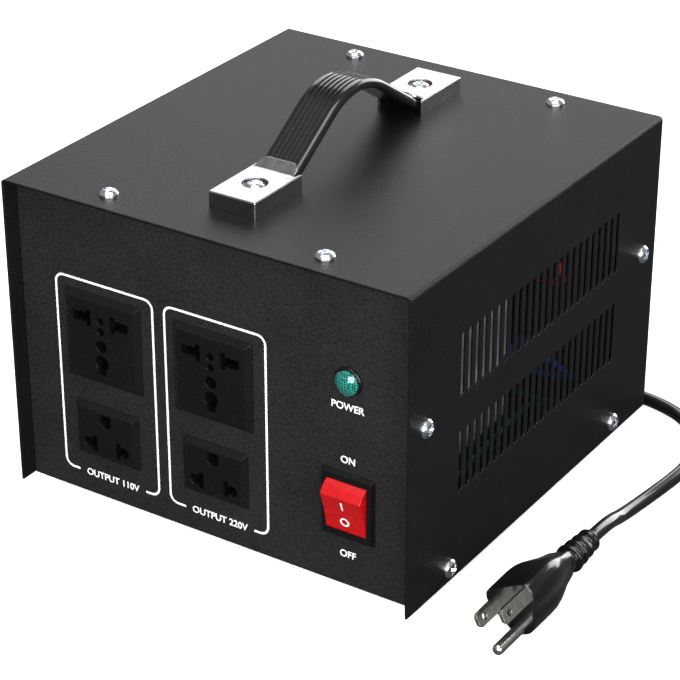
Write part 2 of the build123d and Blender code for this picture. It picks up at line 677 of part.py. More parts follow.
# Pilot lamp
def make_lamp_ring():
    """A black ring with a threaded barrel through the panel."""
    back = FRONT + LAMP_BARREL_LENGTH
    ring = rod(LAMP_RING / 2, (LAMP_X, FRONT - LAMP_RING_RISE, LAMP_Z), (LAMP_X, FRONT, LAMP_Z))
    ring = chamfer(ring.edges().group_by(Axis.Y)[0], LAMP_RING_RISE / 3)
    ring += rod(LAMP_BARREL / 2, (LAMP_X, FRONT, LAMP_Z), (LAMP_X, back, LAMP_Z))
    return ring - rod(LAMP_LENS / 2 + CONTACT_PLAY, (LAMP_X, FRONT - LAMP_RING_RISE - OVERRUN, LAMP_Z),
                      (LAMP_X, FRONT - LAMP_RING_RISE / 2, LAMP_Z))


def make_lamp_lens():
    """A low domed lens seated in the ring."""
    seat = LAMP_RING_RISE / 2
    half = LAMP_LENS / 2
    wall = LAMP_RING_RISE
    profile = make_face(
        Polyline((0, 0), (half, 0), (half, wall))
        + dome_arc(half, wall, LAMP_LENS_RISE)
        + Line((0, LAMP_LENS_RISE), (0, 0))
    )
    lens = revolve(Plane.XZ * profile, Axis.Z)
    return Plane(origin=(LAMP_X, FRONT - seat, LAMP_Z), z_dir=(0, -1, 0)) * lens


def make_lamp_nut():
    inside = FRONT + TRAY_SHEET
    nut = Plane(origin=(LAMP_X, inside, LAMP_Z), z_dir=(0, 1, 0)) * hexagon(LAMP_NUT, LAMP_NUT_THICK)
    far = inside + LAMP_NUT_THICK + OVERRUN
    return nut - rod(LAMP_BARREL / 2, (LAMP_X, inside - OVERRUN, LAMP_Z), (LAMP_X, far, LAMP_Z))


# Rocker switch
def make_rocker():
    """The rocker: face, end arcs about the pivot, a trunnion at each side, pressed at the bottom."""
    def on_arc(side, degrees):
        angle = math.radians(degrees)
        return side * ROCKER_RADIUS * math.sin(angle), ROCKER_RADIUS * math.cos(angle)
    last = ROCKER_ANGLE + ROCKER_SKIRT
    middle = ROCKER_ANGLE + ROCKER_SKIRT / 2
    dip = ROCKER_REACH - BEZEL_EDGE / 2
    outline = (
        ThreePointArc((-ROCKER_HALF, ROCKER_REACH), (0, dip), (ROCKER_HALF, ROCKER_REACH))
        + ThreePointArc((ROCKER_HALF, ROCKER_REACH), on_arc(1, middle), on_arc(1, last))
        + Polyline(on_arc(1, last), (ROCKER_HUB, -ROCKER_HUB / 2), (-ROCKER_HUB, -ROCKER_HUB / 2),
                   on_arc(-1, last))
        + ThreePointArc(on_arc(-1, last), on_arc(-1, middle), (-ROCKER_HALF, ROCKER_REACH))
    )
    # The outline lies across the switch: its first axis is up and its second is outwards
    across = Plane(origin=PIVOT, x_dir=(0, 0, 1), z_dir=(-1, 0, 0))
    if across.y_dir.Y > 0:
        across = Plane(origin=PIVOT, x_dir=(0, 0, 1), z_dir=(1, 0, 0))
    rocker = extrude(across * make_face(outline), ROCKER_WIDTH / 2, both=True)
    rocker += pivot_rod(TRUNNION / 2, ROCKER_WIDTH / 2 + TRUNNION_LENGTH)
    return rocker.rotate(Axis(PIVOT, (1, 0, 0)), ROCKER_TILT)


def make_switch_frame():
    """A bevelled bezel and the hollow body behind it, with bearings for the rocker's trunnions."""
    outline = Plane(origin=(SWITCH_X, FRONT, SWITCH_Z), x_dir=(1, 0, 0), z_dir=(0, -1, 0))
    crown = Rectangle(BEZEL_WIDTH - 2 * BEZEL_EDGE, BEZEL_HEIGHT - 2 * BEZEL_EDGE)
    frame = loft([outline * Rectangle(BEZEL_WIDTH, BEZEL_HEIGHT), outline.offset(BEZEL_RISE) * crown])
    x0, x1 = SWITCH_X - SWITCH_BODY_WIDTH / 2, SWITCH_X + SWITCH_BODY_WIDTH / 2
    z0, z1 = SWITCH_Z - SWITCH_BODY_HEIGHT / 2, SWITCH_Z + SWITCH_BODY_HEIGHT / 2
    back = FRONT + SWITCH_BODY_DEPTH
    frame += block(x0, x1, FRONT, back, z0, z1)
    half_x = ROCKER_WIDTH / 2 + ROCKER_CLEAR
    frame -= block(SWITCH_X - half_x, SWITCH_X + half_x, BEZEL_FACE - OVERRUN, back - SWITCH_BACK,
                   SWITCH_Z - MOUTH_HALF, SWITCH_Z + MOUTH_HALF)
    frame -= pivot_rod(ROCKER_RADIUS + ROCKER_CLEAR, half_x)
    frame -= pivot_rod(TRUNNION / 2 + TRUNNION_PLAY, ROCKER_WIDTH / 2 + TRUNNION_LENGTH + TRUNNION_PLAY)
    return frame - [switch_tab(i, CONTACT_PLAY) for i in range(4)]


def pivot_rod(radius, reach):
    """A bar along the rocker's pivot, as far to each side."""
    return rod(radius, (SWITCH_X - reach, *PIVOT[1:]), (SWITCH_X + reach, *PIVOT[1:]))


def switch_tab(i, play):
    """One of four push-on tabs through the switch's back."""
    x = SWITCH_X + (SWITCH_TAB_PITCH / 2 if i % 2 else -SWITCH_TAB_PITCH / 2)
    z = SWITCH_Z + (SWITCH_TAB_PITCH if i // 2 else -SWITCH_TAB_PITCH)
    back = FRONT + SWITCH_BODY_DEPTH
    half = CONTACT_THICK / 2 + play
    wide = CONTACT_WIDTH / 2 + play
    return block(x - half, x + half, back - SWITCH_BACK - play, back + TAB_LENGTH, z - wide, z + wide)


# Transformer
def make_core():
    """Stacked E and I laminations: two windows either side of the middle leg."""
    core = Pos(0, CORE_Y, (CORE_BOTTOM + CORE_TOP) / 2) * Box(CORE_WIDTH, CORE_STACK, CORE_HEIGHT)
    core = chamfer(core.edges().filter_by(Axis.Y), CORE_CORNER)
    leg = CORE_LEG
    for way in (-1, 1):
        x0, x1 = sorted((way * leg, way * (CORE_WIDTH / 2 - leg)))
        core -= block(x0, x1, CORE_FRONT - OVERRUN, CORE_BACK + OVERRUN, CORE_BOTTOM + leg, CORE_TOP - leg)
    low, high = CORE_FRONT - OVERRUN, CORE_BACK + OVERRUN
    return core - [rod(CORE_BOLT / 2, (x, low, z), (x, high, z)) for x, z in core_bolt_places()]


def core_bolt_places():
    x = CORE_WIDTH / 2 - CORE_BOLT_INSET
    heights = (CORE_BOTTOM + CORE_BOLT_INSET, CORE_TOP - CORE_BOLT_INSET)
    return [(s * x, z) for s in (-1, 1) for z in heights]


def make_coil():
    """The wound coil round the middle leg, wrapped in tape, with a raised middle band of wrap."""
    z0, z1 = CORE_BOTTOM + CORE_LEG + COIL_PLAY, CORE_TOP - CORE_LEG - COIL_PLAY
    half_x = CORE_WIDTH / 2 - CORE_LEG - COIL_PLAY
    half_y = CORE_STACK / 2 + COIL_OVERHANG
    middle = (z0 + z1) / 2

    def ring(grow, low, high):
        outline = RectangleRounded(2 * (half_x + grow), 2 * (half_y + grow), COIL_CORNER + grow)
        return Pos(0, CORE_Y, low) * extrude(outline, high - low)
    coil = ring(-COIL_STEP, z0, z1) + ring(0, middle - COIL_BAND / 2, middle + COIL_BAND / 2)
    leg_x = CORE_LEG + COIL_PLAY
    leg_y = CORE_STACK / 2 + COIL_PLAY
    return coil - block(-leg_x, leg_x, CORE_Y - leg_y, CORE_Y + leg_y, z0 - OVERRUN, z1 + OVERRUN)


def make_rail(way):
    """A green fibre channel under one side of the core."""
    x = way * (CORE_WIDTH / 2 - RAIL_WIDTH / 2)
    rail = block(x - RAIL_WIDTH / 2, x + RAIL_WIDTH / 2, CORE_Y - RAIL_LENGTH / 2, CORE_Y + RAIL_LENGTH / 2,
                 TRAY_FLOOR, CORE_BOTTOM)
    return rail - block(x - RAIL_WIDTH / 2 + RAIL_WALL, x + RAIL_WIDTH / 2 - RAIL_WALL,
                        CORE_Y - RAIL_LENGTH / 2 - OVERRUN, CORE_Y + RAIL_LENGTH / 2 + OVERRUN,
                        TRAY_FLOOR - OVERRUN, CORE_BOTTOM - RAIL_WALL)


def clamp_bolt_places():
    """Where the clamps' feet are bolted to the tray."""
    y = CORE_STACK / 2 + CLAMP_SHEET + CLAMP_FOOT / 2
    return [(x, CORE_Y + s * y) for x in (-CORE_WIDTH / 4, CORE_WIDTH / 4) for s in (-1, 1)]


def make_clamp(way):
    """An angle across the core's foot, held by the lower core bolts and bolted to the tray."""
    face = CORE_Y + way * CORE_STACK / 2
    y0, y1 = sorted((face, face + way * CLAMP_SHEET))
    clamp = block(-CORE_WIDTH / 2, CORE_WIDTH / 2, y0, y1, TRAY_FLOOR, TRAY_FLOOR + CLAMP_RISE)
    f0, f1 = sorted((face, face + way * (CLAMP_SHEET + CLAMP_FOOT)))
    half = CORE_WIDTH / 2 - RAIL_WIDTH - FIT
    clamp += block(-half, half, f0, f1, TRAY_FLOOR, TRAY_FLOOR + CLAMP_SHEET)
    low, high = CORE_Y - RAIL_LENGTH / 2 - OVERRUN, CORE_Y + RAIL_LENGTH / 2 + OVERRUN
    for side in (-1, 1):
        x0, x1 = sorted((side * half, side * (CORE_WIDTH / 2 + OVERRUN)))
        clamp -= block(x0, x1, low, high, TRAY_FLOOR - OVERRUN, CORE_BOTTOM + FIT)
    holes = [rod(CORE_BOLT / 2, (x, low, z), (x, high, z)) for x, z in core_bolt_places()]
    holes += [rod(CORE_BOLT / 2, (x, y, TRAY_FLOOR - OVERRUN), (x, y, TRAY_FLOOR + CLAMP_SHEET + OVERRUN))
              for x, y in clamp_bolt_places()]
    return clamp - holes


def hex_bolt(head, tail, across, rise):
    """A hexagon bolt and its nut on one shank, between two outer faces."""
    a, b = Vector(*head), Vector(*tail)
    way = (b - a).normalized()
    bolt = rod(CORE_BOLT / 2 - CONTACT_PLAY / 2, head, tail)
    bolt += Plane(origin=a, z_dir=way * -1) * hexagon(across, rise)
    return bolt + Plane(origin=b, z_dir=way) * hexagon(across, rise)


def make_core_bolts():
    bolts = []
    for x, z in core_bolt_places():
        extra = CLAMP_SHEET if z < (CORE_BOTTOM + CORE_TOP) / 2 else 0
        head, tail = (x, CORE_FRONT - extra, z), (x, CORE_BACK + extra, z)
        bolts.append(hex_bolt(head, tail, NUT_ACROSS, CORE_BOLT_HEAD_RISE))
    return bolts


def make_clamp_bolts():
    return [hex_bolt((x, y, TRAY_BOTTOM), (x, y, TRAY_FLOOR + CLAMP_SHEET), NUT_ACROSS, CORE_BOLT_HEAD_RISE)
            for x, y in clamp_bolt_places()]


# Rear fittings
def make_gland():
    """A moulded strain relief: barrel and inner collar in the panel, flange outside and a ringed taper."""
    inner = REAR - TRAY_SHEET
    base = Plane(origin=(GLAND_X, REAR, GLAND_Z), z_dir=(0, 1, 0))
    gland = rod(GLAND_BARREL / 2, (GLAND_X, REAR - GLAND_BARREL_LENGTH, GLAND_Z), (GLAND_X, REAR, GLAND_Z))
    collar = GLAND_FLANGE / 2
    gland += rod(collar, (GLAND_X, inner - GLAND_FLANGE_THICK, GLAND_Z), (GLAND_X, inner, GLAND_Z))
    gland += rod(collar, (GLAND_X, REAR, GLAND_Z), (GLAND_X, REAR + GLAND_FLANGE_THICK, GLAND_Z))
    start = base.offset(GLAND_FLANGE_THICK)
    tip = start.offset(GLAND_TAPER_LENGTH) * Circle(GLAND_TAPER_END / 2)
    gland += loft([start * Circle(GLAND_BARREL / 2), tip])
    for i in range(GLAND_GROOVES):
        share = (i + 1) / (GLAND_GROOVES + 1)
        radius = (GLAND_BARREL + (GLAND_TAPER_END - GLAND_BARREL) * share) / 2
        at = start.offset(GLAND_TAPER_LENGTH * share - GLAND_GROOVE_WIDTH / 2)
        groove = Circle(GLAND_FLANGE / 2) - Circle(radius - GLAND_GROOVE_DEPTH)
        gland -= extrude(at * groove, GLAND_GROOVE_WIDTH)
    return gland


def make_slider():
    """A knob with three finger grooves and a wider sole that runs behind the panel."""
    x = SELECTOR_X - SLIDER_TRAVEL / 2
    slider = block(x - SLIDER_WIDTH / 2, x + SLIDER_WIDTH / 2, REAR - TRAY_SHEET - SLIDER_SOLE,
                   REAR + SLIDER_PROUD, SELECTOR_Z - SLIDER_HEIGHT / 2, SELECTOR_Z + SLIDER_HEIGHT / 2)
    inner = REAR - TRAY_SHEET - SLIDER_CLEAR
    side = SLIDER_SOLE_SIDE
    slider += block(x - SLIDER_WIDTH / 2 - side, x + SLIDER_WIDTH / 2 + side, inner - SLIDER_SOLE, inner,
                    SELECTOR_Z - SLIDER_HEIGHT / 2 - side, SELECTOR_Z + SLIDER_HEIGHT / 2 + side)
    for i in (-1, 0, 1):
        groove_x = x + i * SLIDER_WIDTH / 4
        slider -= block(groove_x - SLIDER_WIDTH / 16, groove_x + SLIDER_WIDTH / 16, REAR + SLIDER_PROUD / 2,
                        REAR + SLIDER_PROUD + OVERRUN, SELECTOR_Z - SLIDER_HEIGHT, SELECTOR_Z + SLIDER_HEIGHT)
    return slider


def make_selector():
    """The voltage selector's body, held behind the rear panel by its flange."""
    inner = REAR - TRAY_SHEET
    low, high = SELECTOR_Z - SELECTOR_HEIGHT / 2, SELECTOR_Z + SELECTOR_HEIGHT / 2
    x0, x1 = SELECTOR_X - SELECTOR_WIDTH / 2, SELECTOR_X + SELECTOR_WIDTH / 2
    body = block(x0, x1, inner - SELECTOR_DEPTH, inner, low, high)
    x0, x1 = SELECTOR_X - SELECTOR_FLANGE / 2, SELECTOR_X + SELECTOR_FLANGE / 2
    body += block(x0, x1, inner - SELECTOR_FLANGE_THICK, inner, low, high)
    room = SLIDER_SOLE_SIDE + SLIDER_CLEAR
    half_x = (SLIDER_WIDTH + SLIDER_TRAVEL) / 2 + room
    half_z = SLIDER_HEIGHT / 2 + room
    body -= block(SELECTOR_X - half_x, SELECTOR_X + half_x, inner - SLIDER_SOLE - 2 * SLIDER_CLEAR,
                  inner + OVERRUN, SELECTOR_Z - half_z, SELECTOR_Z + half_z)
    for way in (-1, 1):
        x = SELECTOR_X + way * SELECTOR_SCREW_PITCH / 2
        body -= rod(SELECTOR_SCREW / 2, (x, inner - OVERRUN, SELECTOR_Z), (x, inner + OVERRUN, SELECTOR_Z))
    for way in (-1, 0, 1):
        body += contact_tail(SELECTOR_X + way * SELECTOR_WIDTH / 3)
    return body


def contact_tail(x):
    """One of the selector's three tabs."""
    back = REAR - TRAY_SHEET - SELECTOR_DEPTH
    return block(x - CONTACT_THICK / 2, x + CONTACT_THICK / 2, back - TAB_LENGTH / 2, back,
                 SELECTOR_Z - CONTACT_WIDTH / 2, SELECTOR_Z + CONTACT_WIDTH / 2)


def make_selector_screws():
    places = [(SELECTOR_X + way * SELECTOR_SCREW_PITCH / 2, REAR, SELECTOR_Z) for way in (-1, 1)]
    return [pan_screw(place, (0, -1, 0), SELECTOR_SCREW_HEAD, SELECTOR_SCREW_RISE,
                      SELECTOR_SCREW - CONTACT_PLAY, SELECTOR_SCREW_LENGTH) for place in places]


def make_breaker():
    """A push-to-reset breaker: body behind the panel, threaded neck through it, bored for the button."""
    inner = REAR - TRAY_SHEET
    back, mouth = inner - BREAKER_DEPTH, inner + BREAKER_NECK_LENGTH
    body = block(BREAKER_X - BREAKER_WIDTH / 2, BREAKER_X + BREAKER_WIDTH / 2, back, inner,
                 BREAKER_Z - BREAKER_HEIGHT / 2, BREAKER_Z + BREAKER_HEIGHT / 2)
    body += rod(BREAKER_NECK / 2, (BREAKER_X, inner, BREAKER_Z), (BREAKER_X, mouth, BREAKER_Z))
    for way in (-1, 1):
        z = BREAKER_Z + way * BREAKER_HEIGHT / 4
        body += block(BREAKER_X - CONTACT_WIDTH / 2, BREAKER_X + CONTACT_WIDTH / 2, back - TAB_LENGTH, back,
                      z - CONTACT_THICK / 2, z + CONTACT_THICK / 2)
    bore = BREAKER_BUTTON / 2 + BREAKER_CLEAR
    floor = inner - BREAKER_BUTTON_STROKE - BREAKER_CLEAR
    return body - rod(bore, (BREAKER_X, floor, BREAKER_Z), (BREAKER_X, mouth + OVERRUN, BREAKER_Z))


def make_breaker_nut():
    nut = Plane(origin=(BREAKER_X, REAR, BREAKER_Z), z_dir=(0, 1, 0)) * hexagon(BREAKER_NUT, BREAKER_NUT_THICK)
    return nut - rod(BREAKER_NECK / 2, (BREAKER_X, REAR - OVERRUN, BREAKER_Z),
                     (BREAKER_X, REAR + BREAKER_NUT_THICK + OVERRUN, BREAKER_Z))


def make_breaker_button():
    """The reset button, pressed in as it is in use."""
    inner = REAR - TRAY_SHEET
    tip = inner + BREAKER_NECK_LENGTH + BREAKER_BUTTON_PROUD
    foot = inner - BREAKER_BUTTON_STROKE
    button = rod(BREAKER_BUTTON / 2, (BREAKER_X, foot, BREAKER_Z), (BREAKER_X, tip, BREAKER_Z))
    return fillet(button.edges().group_by(Axis.Y)[-1], BREAKER_BUTTON / 8)


# Mains lead
def coil_place(k):
    """Where the lead's middle is after k half turns, which begin at the coil's left side."""
    steps = k if k <= CLIMB_AT else 2 * CLIMB_AT + 1 - k
    radius = COIL_OUTER_RADIUS - COIL_HALF_PITCH * steps
    side = -1 if k % 2 == 0 else 1
    height = CORD / 2 + (0 if k <= CLIMB_AT else COIL_LAYER)
    return Vector(COIL_MIDDLE[0] + side * radius, COIL_MIDDLE[1], height)


def coil_edges():
    """Half turns that spiral in on the floor, climb one layer at the turn, and spiral out again."""
    edges = [Line(coil_place(0) - Vector(0, CORD, 0), coil_place(0))]
    for k in range(HALF_TURNS):
        a, b = coil_place(k), coil_place(k + 1)
        heading = Vector(0, 1, 0) if k % 2 == 0 else Vector(0, -1, 0)
        if k == CLIMB_AT:
            top = (a + b) * (1 / 2) + heading * ((b - a).length / 2)
            edges.append(TangentArc(a, top, tangent=heading))
            edges.append(TangentArc(top, b, tangent=edges[-1] % 1))
        else:
            edges.append(TangentArc(a, b, tangent=heading))
    last = coil_place(HALF_TURNS)
    edges.append(Line(last, last - Vector(0, CORD, 0)))
    return edges


def coil_gap(edges):
    """Least clear distance between stretches of the coil that lie over half a turn apart."""
    steps = 24
    spots = [e @ (i / steps) for e in edges for i in range(steps)]
    lengths = [0.0]
    for a, b in zip(spots, spots[1:]):
        lengths.append(lengths[-1] + (b - a).length)
    apart = math.pi * COIL_OUTER_RADIUS / 2
    least = min((a - b).length for i, a in enumerate(spots) for j, b in enumerate(spots)
                if lengths[j] - lengths[i] > apart)
    return least - CORD


def tube(path, diameter):
    """A round lead along a line."""
    start = Plane(origin=path @ 0, z_dir=path % 0)
    return sweep(start * Circle(diameter / 2), path=path)


def route(name, points):
    """Straight runs joined by the largest arcs that the runs allow."""
    spots = [Vector(*p) for p in points]
    radii = []
    for a, b, c in zip(spots, spots[1:], spots[2:]):
        turn = math.radians((b - a).get_angle(c - b))
        radii.append(RUN_SHARE * min((b - a).length, (c - b).length) / math.tan(turn / 2))
    runs = [round((b - a).length, 1) for a, b in zip(spots, spots[1:])]
    print(name, "runs", runs, "radii", [round(r, 1) for r in radii])
    return FilletPolyline(*spots, radius=radii)


def lead_report(name, path, solid, diameter):
    """Prints a stretch's length and how its volume compares with its section times its length."""
    expected = math.pi * diameter ** 2 / 4 * path.length
    print(name, "length", round(path.length, 1), "volume share", round(solid.volume / expected, 4))
    return path.length


# Plug
def plug_plane(distance):
    """A plane square to the plug, at a distance from its cord end, rolled about the plug's axis."""
    roll = math.radians(PLUG_ROLL)
    return Plane(origin=(PLUG_X, PLUG_END_Y - distance, PLUG_HEIGHT),
                 x_dir=(math.cos(roll), 0, math.sin(roll)), z_dir=(0, -1, 0))


def plug_side(plane):
    """Which way along the plane's second axis the earth pin lies, below the blades."""
    return -1 if plane.y_dir.Z > 0 else 1


def plug_outline(plane, share):
    """The body's section: flat beside the blades, drawn in and round beside the earth pin."""
    side = plug_side(plane)
    half, wide, round_end = PLUG_HALF * share, PLUG_HALF_WIDTH * share, PLUG_EARTH_RADIUS * share
    level = half - round_end
    outline = (
        Polyline((-round_end, side * level), (-wide, -side * level / 4), (-wide, -side * half),
                 (wide, -side * half), (wide, -side * level / 4), (round_end, side * level))
        + ThreePointArc((round_end, side * level), (0, side * half), (-round_end, side * level))
    )
    return plane * make_face(outline)


def blade(way, length, start):
    """One flat blade, from a distance along the plug."""
    plane = plug_plane(start)
    side = plug_side(plane)
    spot = Pos(way * BLADE_PITCH / 2, -side * PLUG_BLADE_RISE)
    return extrude(plane * (spot * Rectangle(PLUG_BLADE_THICK, PLUG_BLADE_WIDTH)), length)


def earth_pin(length, start):
    plane = plug_plane(start)
    side = plug_side(plane)
    return extrude(plane * (Pos(0, side * (EARTH_DROP - PLUG_BLADE_RISE)) * Circle(PLUG_PIN / 2)), length)


def make_plug():
    """The moulded plug: ringed boot, shoulders and the flat-sided body."""
    face = PLUG_BOOT + PLUG_BODY
    neck = plug_outline(plug_plane(PLUG_BOOT), PLUG_NECK_SHARE)
    full = plug_outline(plug_plane(PLUG_BOOT + PLUG_SHOULDER), 1.0)
    body = loft([neck, full]) + extrude(full, PLUG_BODY - PLUG_SHOULDER)
    body += extrude(plug_plane(0) * Circle(PLUG_BOOT_CORE / 2), PLUG_BOOT)
    pitch = PLUG_BOOT / (PLUG_RINGS + 1 / 2)
    for i in range(PLUG_RINGS):
        ring = Circle(PLUG_RING / 2 - PLUG_RING_WIDTH / 4 * (i % 2))
        body += extrude(plug_plane(pitch * i) * ring, PLUG_RING_WIDTH)
    sockets = [blade(way, PLUG_EMBED + OVERRUN, face - PLUG_EMBED) for way in (-1, 1)]
    sockets.append(earth_pin(PLUG_EMBED + OVERRUN, face - PLUG_EMBED))
    return body - sockets


def make_blades():
    face = PLUG_BOOT + PLUG_BODY
    blades = []
    for way in (-1, 1):
        piece = blade(way, PLUG_BLADE_LENGTH + PLUG_EMBED, face - PLUG_EMBED)
        plane = plug_plane(face + PLUG_BLADE_LENGTH - PLUG_BLADE_HOLE_INSET)
        side = plug_side(plane)
        spot = plane.from_local_coords(Vector(way * BLADE_PITCH / 2, -side * PLUG_BLADE_RISE, 0))
        hole = Plane(origin=spot, z_dir=plane.x_dir) * Cylinder(PLUG_BLADE_HOLE / 2, PLUG_BLADE_WIDTH)
        piece -= hole
        tips = piece.edges().filter_by(lambda e: abs(e.length - PLUG_BLADE_THICK) < PLUG_BLADE_THICK / 10)
        piece = chamfer(tips.sort_by(Axis.Y)[:2], PLUG_BLADE_THICK)
        blades.append(piece)
    return blades


def make_earth_pin():
    face = PLUG_BOOT + PLUG_BODY
    pin = earth_pin(PLUG_PIN_LENGTH + PLUG_EMBED, face - PLUG_EMBED)
    return fillet(pin.edges().sort_by(Axis.Y)[:1], PLUG_PIN * 2 / 5)


# Leads inside the housing
def wire(points):
    path = FilletPolyline(*[Vector(*p) for p in points], radius=WIRE_BEND)
    return tube(path, WIRE)


def make_link_wires():
    """Each live way of an upper outlet is joined to the lower one by a short bent lead."""
    y = OUTLET_TABS_Y
    wires = []
    for column in COLUMNS:
        for way in (-1, 1):
            x = column + way * ROUND_PITCH / 2
            far = y + LINK_REACH
            wires.append(wire([(x, y, UPPER_PIN_Z), (x, far, UPPER_PIN_Z), (x, far, LOWER_PIN_Z),
                               (x, y, LOWER_PIN_Z)]))
    return wires


def make_feed_wires():
    """From the upper outlets' live tabs to the coil's front end."""
    y = OUTLET_TABS_Y - TAB_LENGTH / 2
    end_y = CORE_FRONT - COIL_OVERHANG / 2
    wires = []
    for column, share in zip(COLUMNS, (-1, 1)):
        for way in (-1, 1):
            x = column + way * ROUND_PITCH / 2
            end_x = share * CORE_LEG + way * WIRE * 3
            wires.append(wire([(x, y, UPPER_PIN_Z + CONTACT_WIDTH / 2), (x, y, COIL_TOP + OVER_COIL),
                               (end_x, end_y, COIL_TOP + OVER_COIL), (end_x, end_y, COIL_TOP)]))
    return wires


def make_blue_wires():
    """From the gland round behind the transformer to the switch, and from the switch to the coil."""
    low = SWITCH_Z - SWITCH_TAB_PITCH
    high = SWITCH_Z + SWITCH_TAB_PITCH
    x = SWITCH_X + SWITCH_TAB_PITCH / 2
    back = REAR_RUN_Y
    left, side = GLAND_X + WIRE, SIDE_RUN_X
    front = SWITCH_TABS_Y + OVER_COIL
    mains = wire([(left, GLAND_INNER, GLAND_Z), (left, back, GLAND_Z), (side, back, GLAND_Z + OVER_COIL),
                  (side, CORE_Y + OVER_COIL, SIDE_SCREW_Z - OVER_COIL), (side, front, high), (x, front, low),
                  (x, SWITCH_TABS_Y, low)])
    end_y = CORE_FRONT - COIL_OVERHANG / 2
    fed = wire([(x, SWITCH_TABS_Y, high), (x, SWITCH_TABS_Y + OVER_COIL, high),
                (CORE_WIDTH / 2 + OVER_COIL / 2, end_y, COIL_TOP + OVER_COIL),
                (CORE_LEG * 3 / 2, end_y, COIL_TOP + OVER_COIL), (CORE_LEG * 3 / 2, end_y, COIL_TOP)])
    return [mains, fed]


def make_red_wires():
    """From the breaker over to the coil's rear end, and from the breaker to the selector."""
    upper = BREAKER_Z + BREAKER_HEIGHT / 4
    lower = BREAKER_Z - BREAKER_HEIGHT / 4
    side = BREAKER_X + CONTACT_WIDTH / 2
    y = BREAKER_TABS_Y
    end_y = CORE_BACK + COIL_OVERHANG / 2
    over = wire([(side, y, upper), (SIDE_RUN_X - OVER_COIL / 2, y, upper),
                 (SIDE_RUN_X - OVER_COIL / 2, CORE_BACK + OVER_COIL / 2, COIL_TOP + OVER_COIL),
                 (CORE_LEG * 3 / 2, end_y, COIL_TOP + OVER_COIL), (CORE_LEG * 3 / 2, end_y, COIL_TOP)])
    tab_x = SELECTOR_X + SELECTOR_WIDTH / 3
    across = wire([(side - CONTACT_WIDTH, y, lower), (tab_x, y, lower), (tab_x, y, SELECTOR_Z),
                   (tab_x, SELECTOR_TABS_Y, SELECTOR_Z)])
    return [over, across]


def make_earth_wire():
    """The yellow and green earth lead from the gland to the lower right outlet's earth tab."""
    back = REAR_RUN_Y - 2 * WIRE
    x = COLUMNS[1]
    z = LOWER_PIN_Z + EARTH_DROP
    left, run = GLAND_X - WIRE, SIDE_RUN_X - 2 * WIRE
    low = GLAND_Z + OVER_COIL / 2
    front = OUTLET_TABS_Y + OVER_COIL
    return wire([(left, GLAND_INNER, GLAND_Z), (left, back, GLAND_Z), (run, back, GLAND_Z),
                 (run, CORE_BACK, LOWER_PIN_Z), (run, front, low), (x, front, low), (x, front, z),
                 (x, OUTLET_TABS_Y, z)])


# Every piece of the converter
save(make_cover(), "cover")
save(make_chassis(), "chassis")
top_places, side_places = flange_screw_places()
for node, places in (("top_screws", top_places), ("side_screws", side_places)):
    save(group([pan_screw(p, w, SCREW_HEAD, SCREW_HEAD_RISE, SCREW_SHANK - SCREW_PLAY / 2, SCREW_LENGTH)
                for p, w in places]), node)
save(group([make_foot(x, y) for x, y in foot_places()]), "feet")
save(group([make_foot_screw(x, y) for x, y in foot_places()]), "foot_screws")

save(make_strap(), "handle_strap")
save(make_cap(-1), "handle_cap_front")
save(make_cap(1), "handle_cap_rear")
save(group([make_handle_screw(y) for y in (-HANDLE_SCREW_Y, HANDLE_SCREW_Y)]), "handle_screws")
save(group([make_handle_nut(y) for y in (-HANDLE_SCREW_Y, HANDLE_SCREW_Y)]), "handle_nuts")

for column, side_name in zip(COLUMNS, ("left", "right")):
    save(make_upper_outlet(column), f"outlet_universal_{side_name}")
    save(make_lower_outlet(column), f"outlet_two_pin_{side_name}")
upper_contacts, lower_contacts = make_contacts()
save(group(upper_contacts), "contacts_universal")
save(group(lower_contacts), "contacts_two_pin")

save(make_lamp_ring(), "lamp_ring")
save(make_lamp_lens(), "lamp_lens")
save(make_lamp_nut(), "lamp_nut")
save(make_switch_frame(), "switch_frame")
save(make_rocker(), "switch_rocker")
save(group([switch_tab(i, 0) for i in range(4)]), "switch_tabs")

save(make_core(), "transformer_core")
save(make_coil(), "transformer_coil")
save(group([make_rail(way) for way in (-1, 1)]), "transformer_rails")
save(group([make_clamp(way) for way in (-1, 1)]), "transformer_clamps")
save(group(make_core_bolts()), "core_bolts")
save(group(make_clamp_bolts()), "clamp_bolts")

save(make_gland(), "lead_gland")
save(make_selector(), "selector_body")
save(make_slider(), "selector_slider")
save(group(make_selector_screws()), "selector_screws")
save(make_breaker(), "breaker_body")
save(make_breaker_nut(), "breaker_nut")
save(make_breaker_button(), "breaker_button")

save(group(make_link_wires()), "wires_links")
save(group(make_feed_wires()), "wires_feed")
save(group(make_blue_wires()), "wires_blue")
save(group(make_red_wires()), "wires_red")
save(make_earth_wire(), "wire_earth")

coil_lines = coil_edges()
coil_line = Wire(coil_lines)
lead_coil = tube(coil_line, CORD)
start_line = route("lead start", LEAD_START_ROUTE)
lead_start = tube(start_line, CORD)
end_line = route("lead end", LEAD_END_ROUTE)
lead_end = tube(end_line, CORD)
print("coil's least gap to itself", round(coil_gap(coil_lines), 2))
total = lead_report("lead start", start_line, lead_start, CORD)
total += lead_report("lead coil", coil_line, lead_coil, CORD)
total += lead_report("lead end", end_line, lead_end, CORD)
print("lead's whole length", round(total, 1))
save(lead_start, "lead_start")
save(lead_coil, "lead_coil")
save(lead_end, "lead_end")
save(make_plug(), "plug_body")
save(group(make_blades()), "plug_blades")
save(make_earth_pin(), "plug_earth_pin")
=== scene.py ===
import math
import bmesh
import bpy
from mathutils import Matrix, Vector


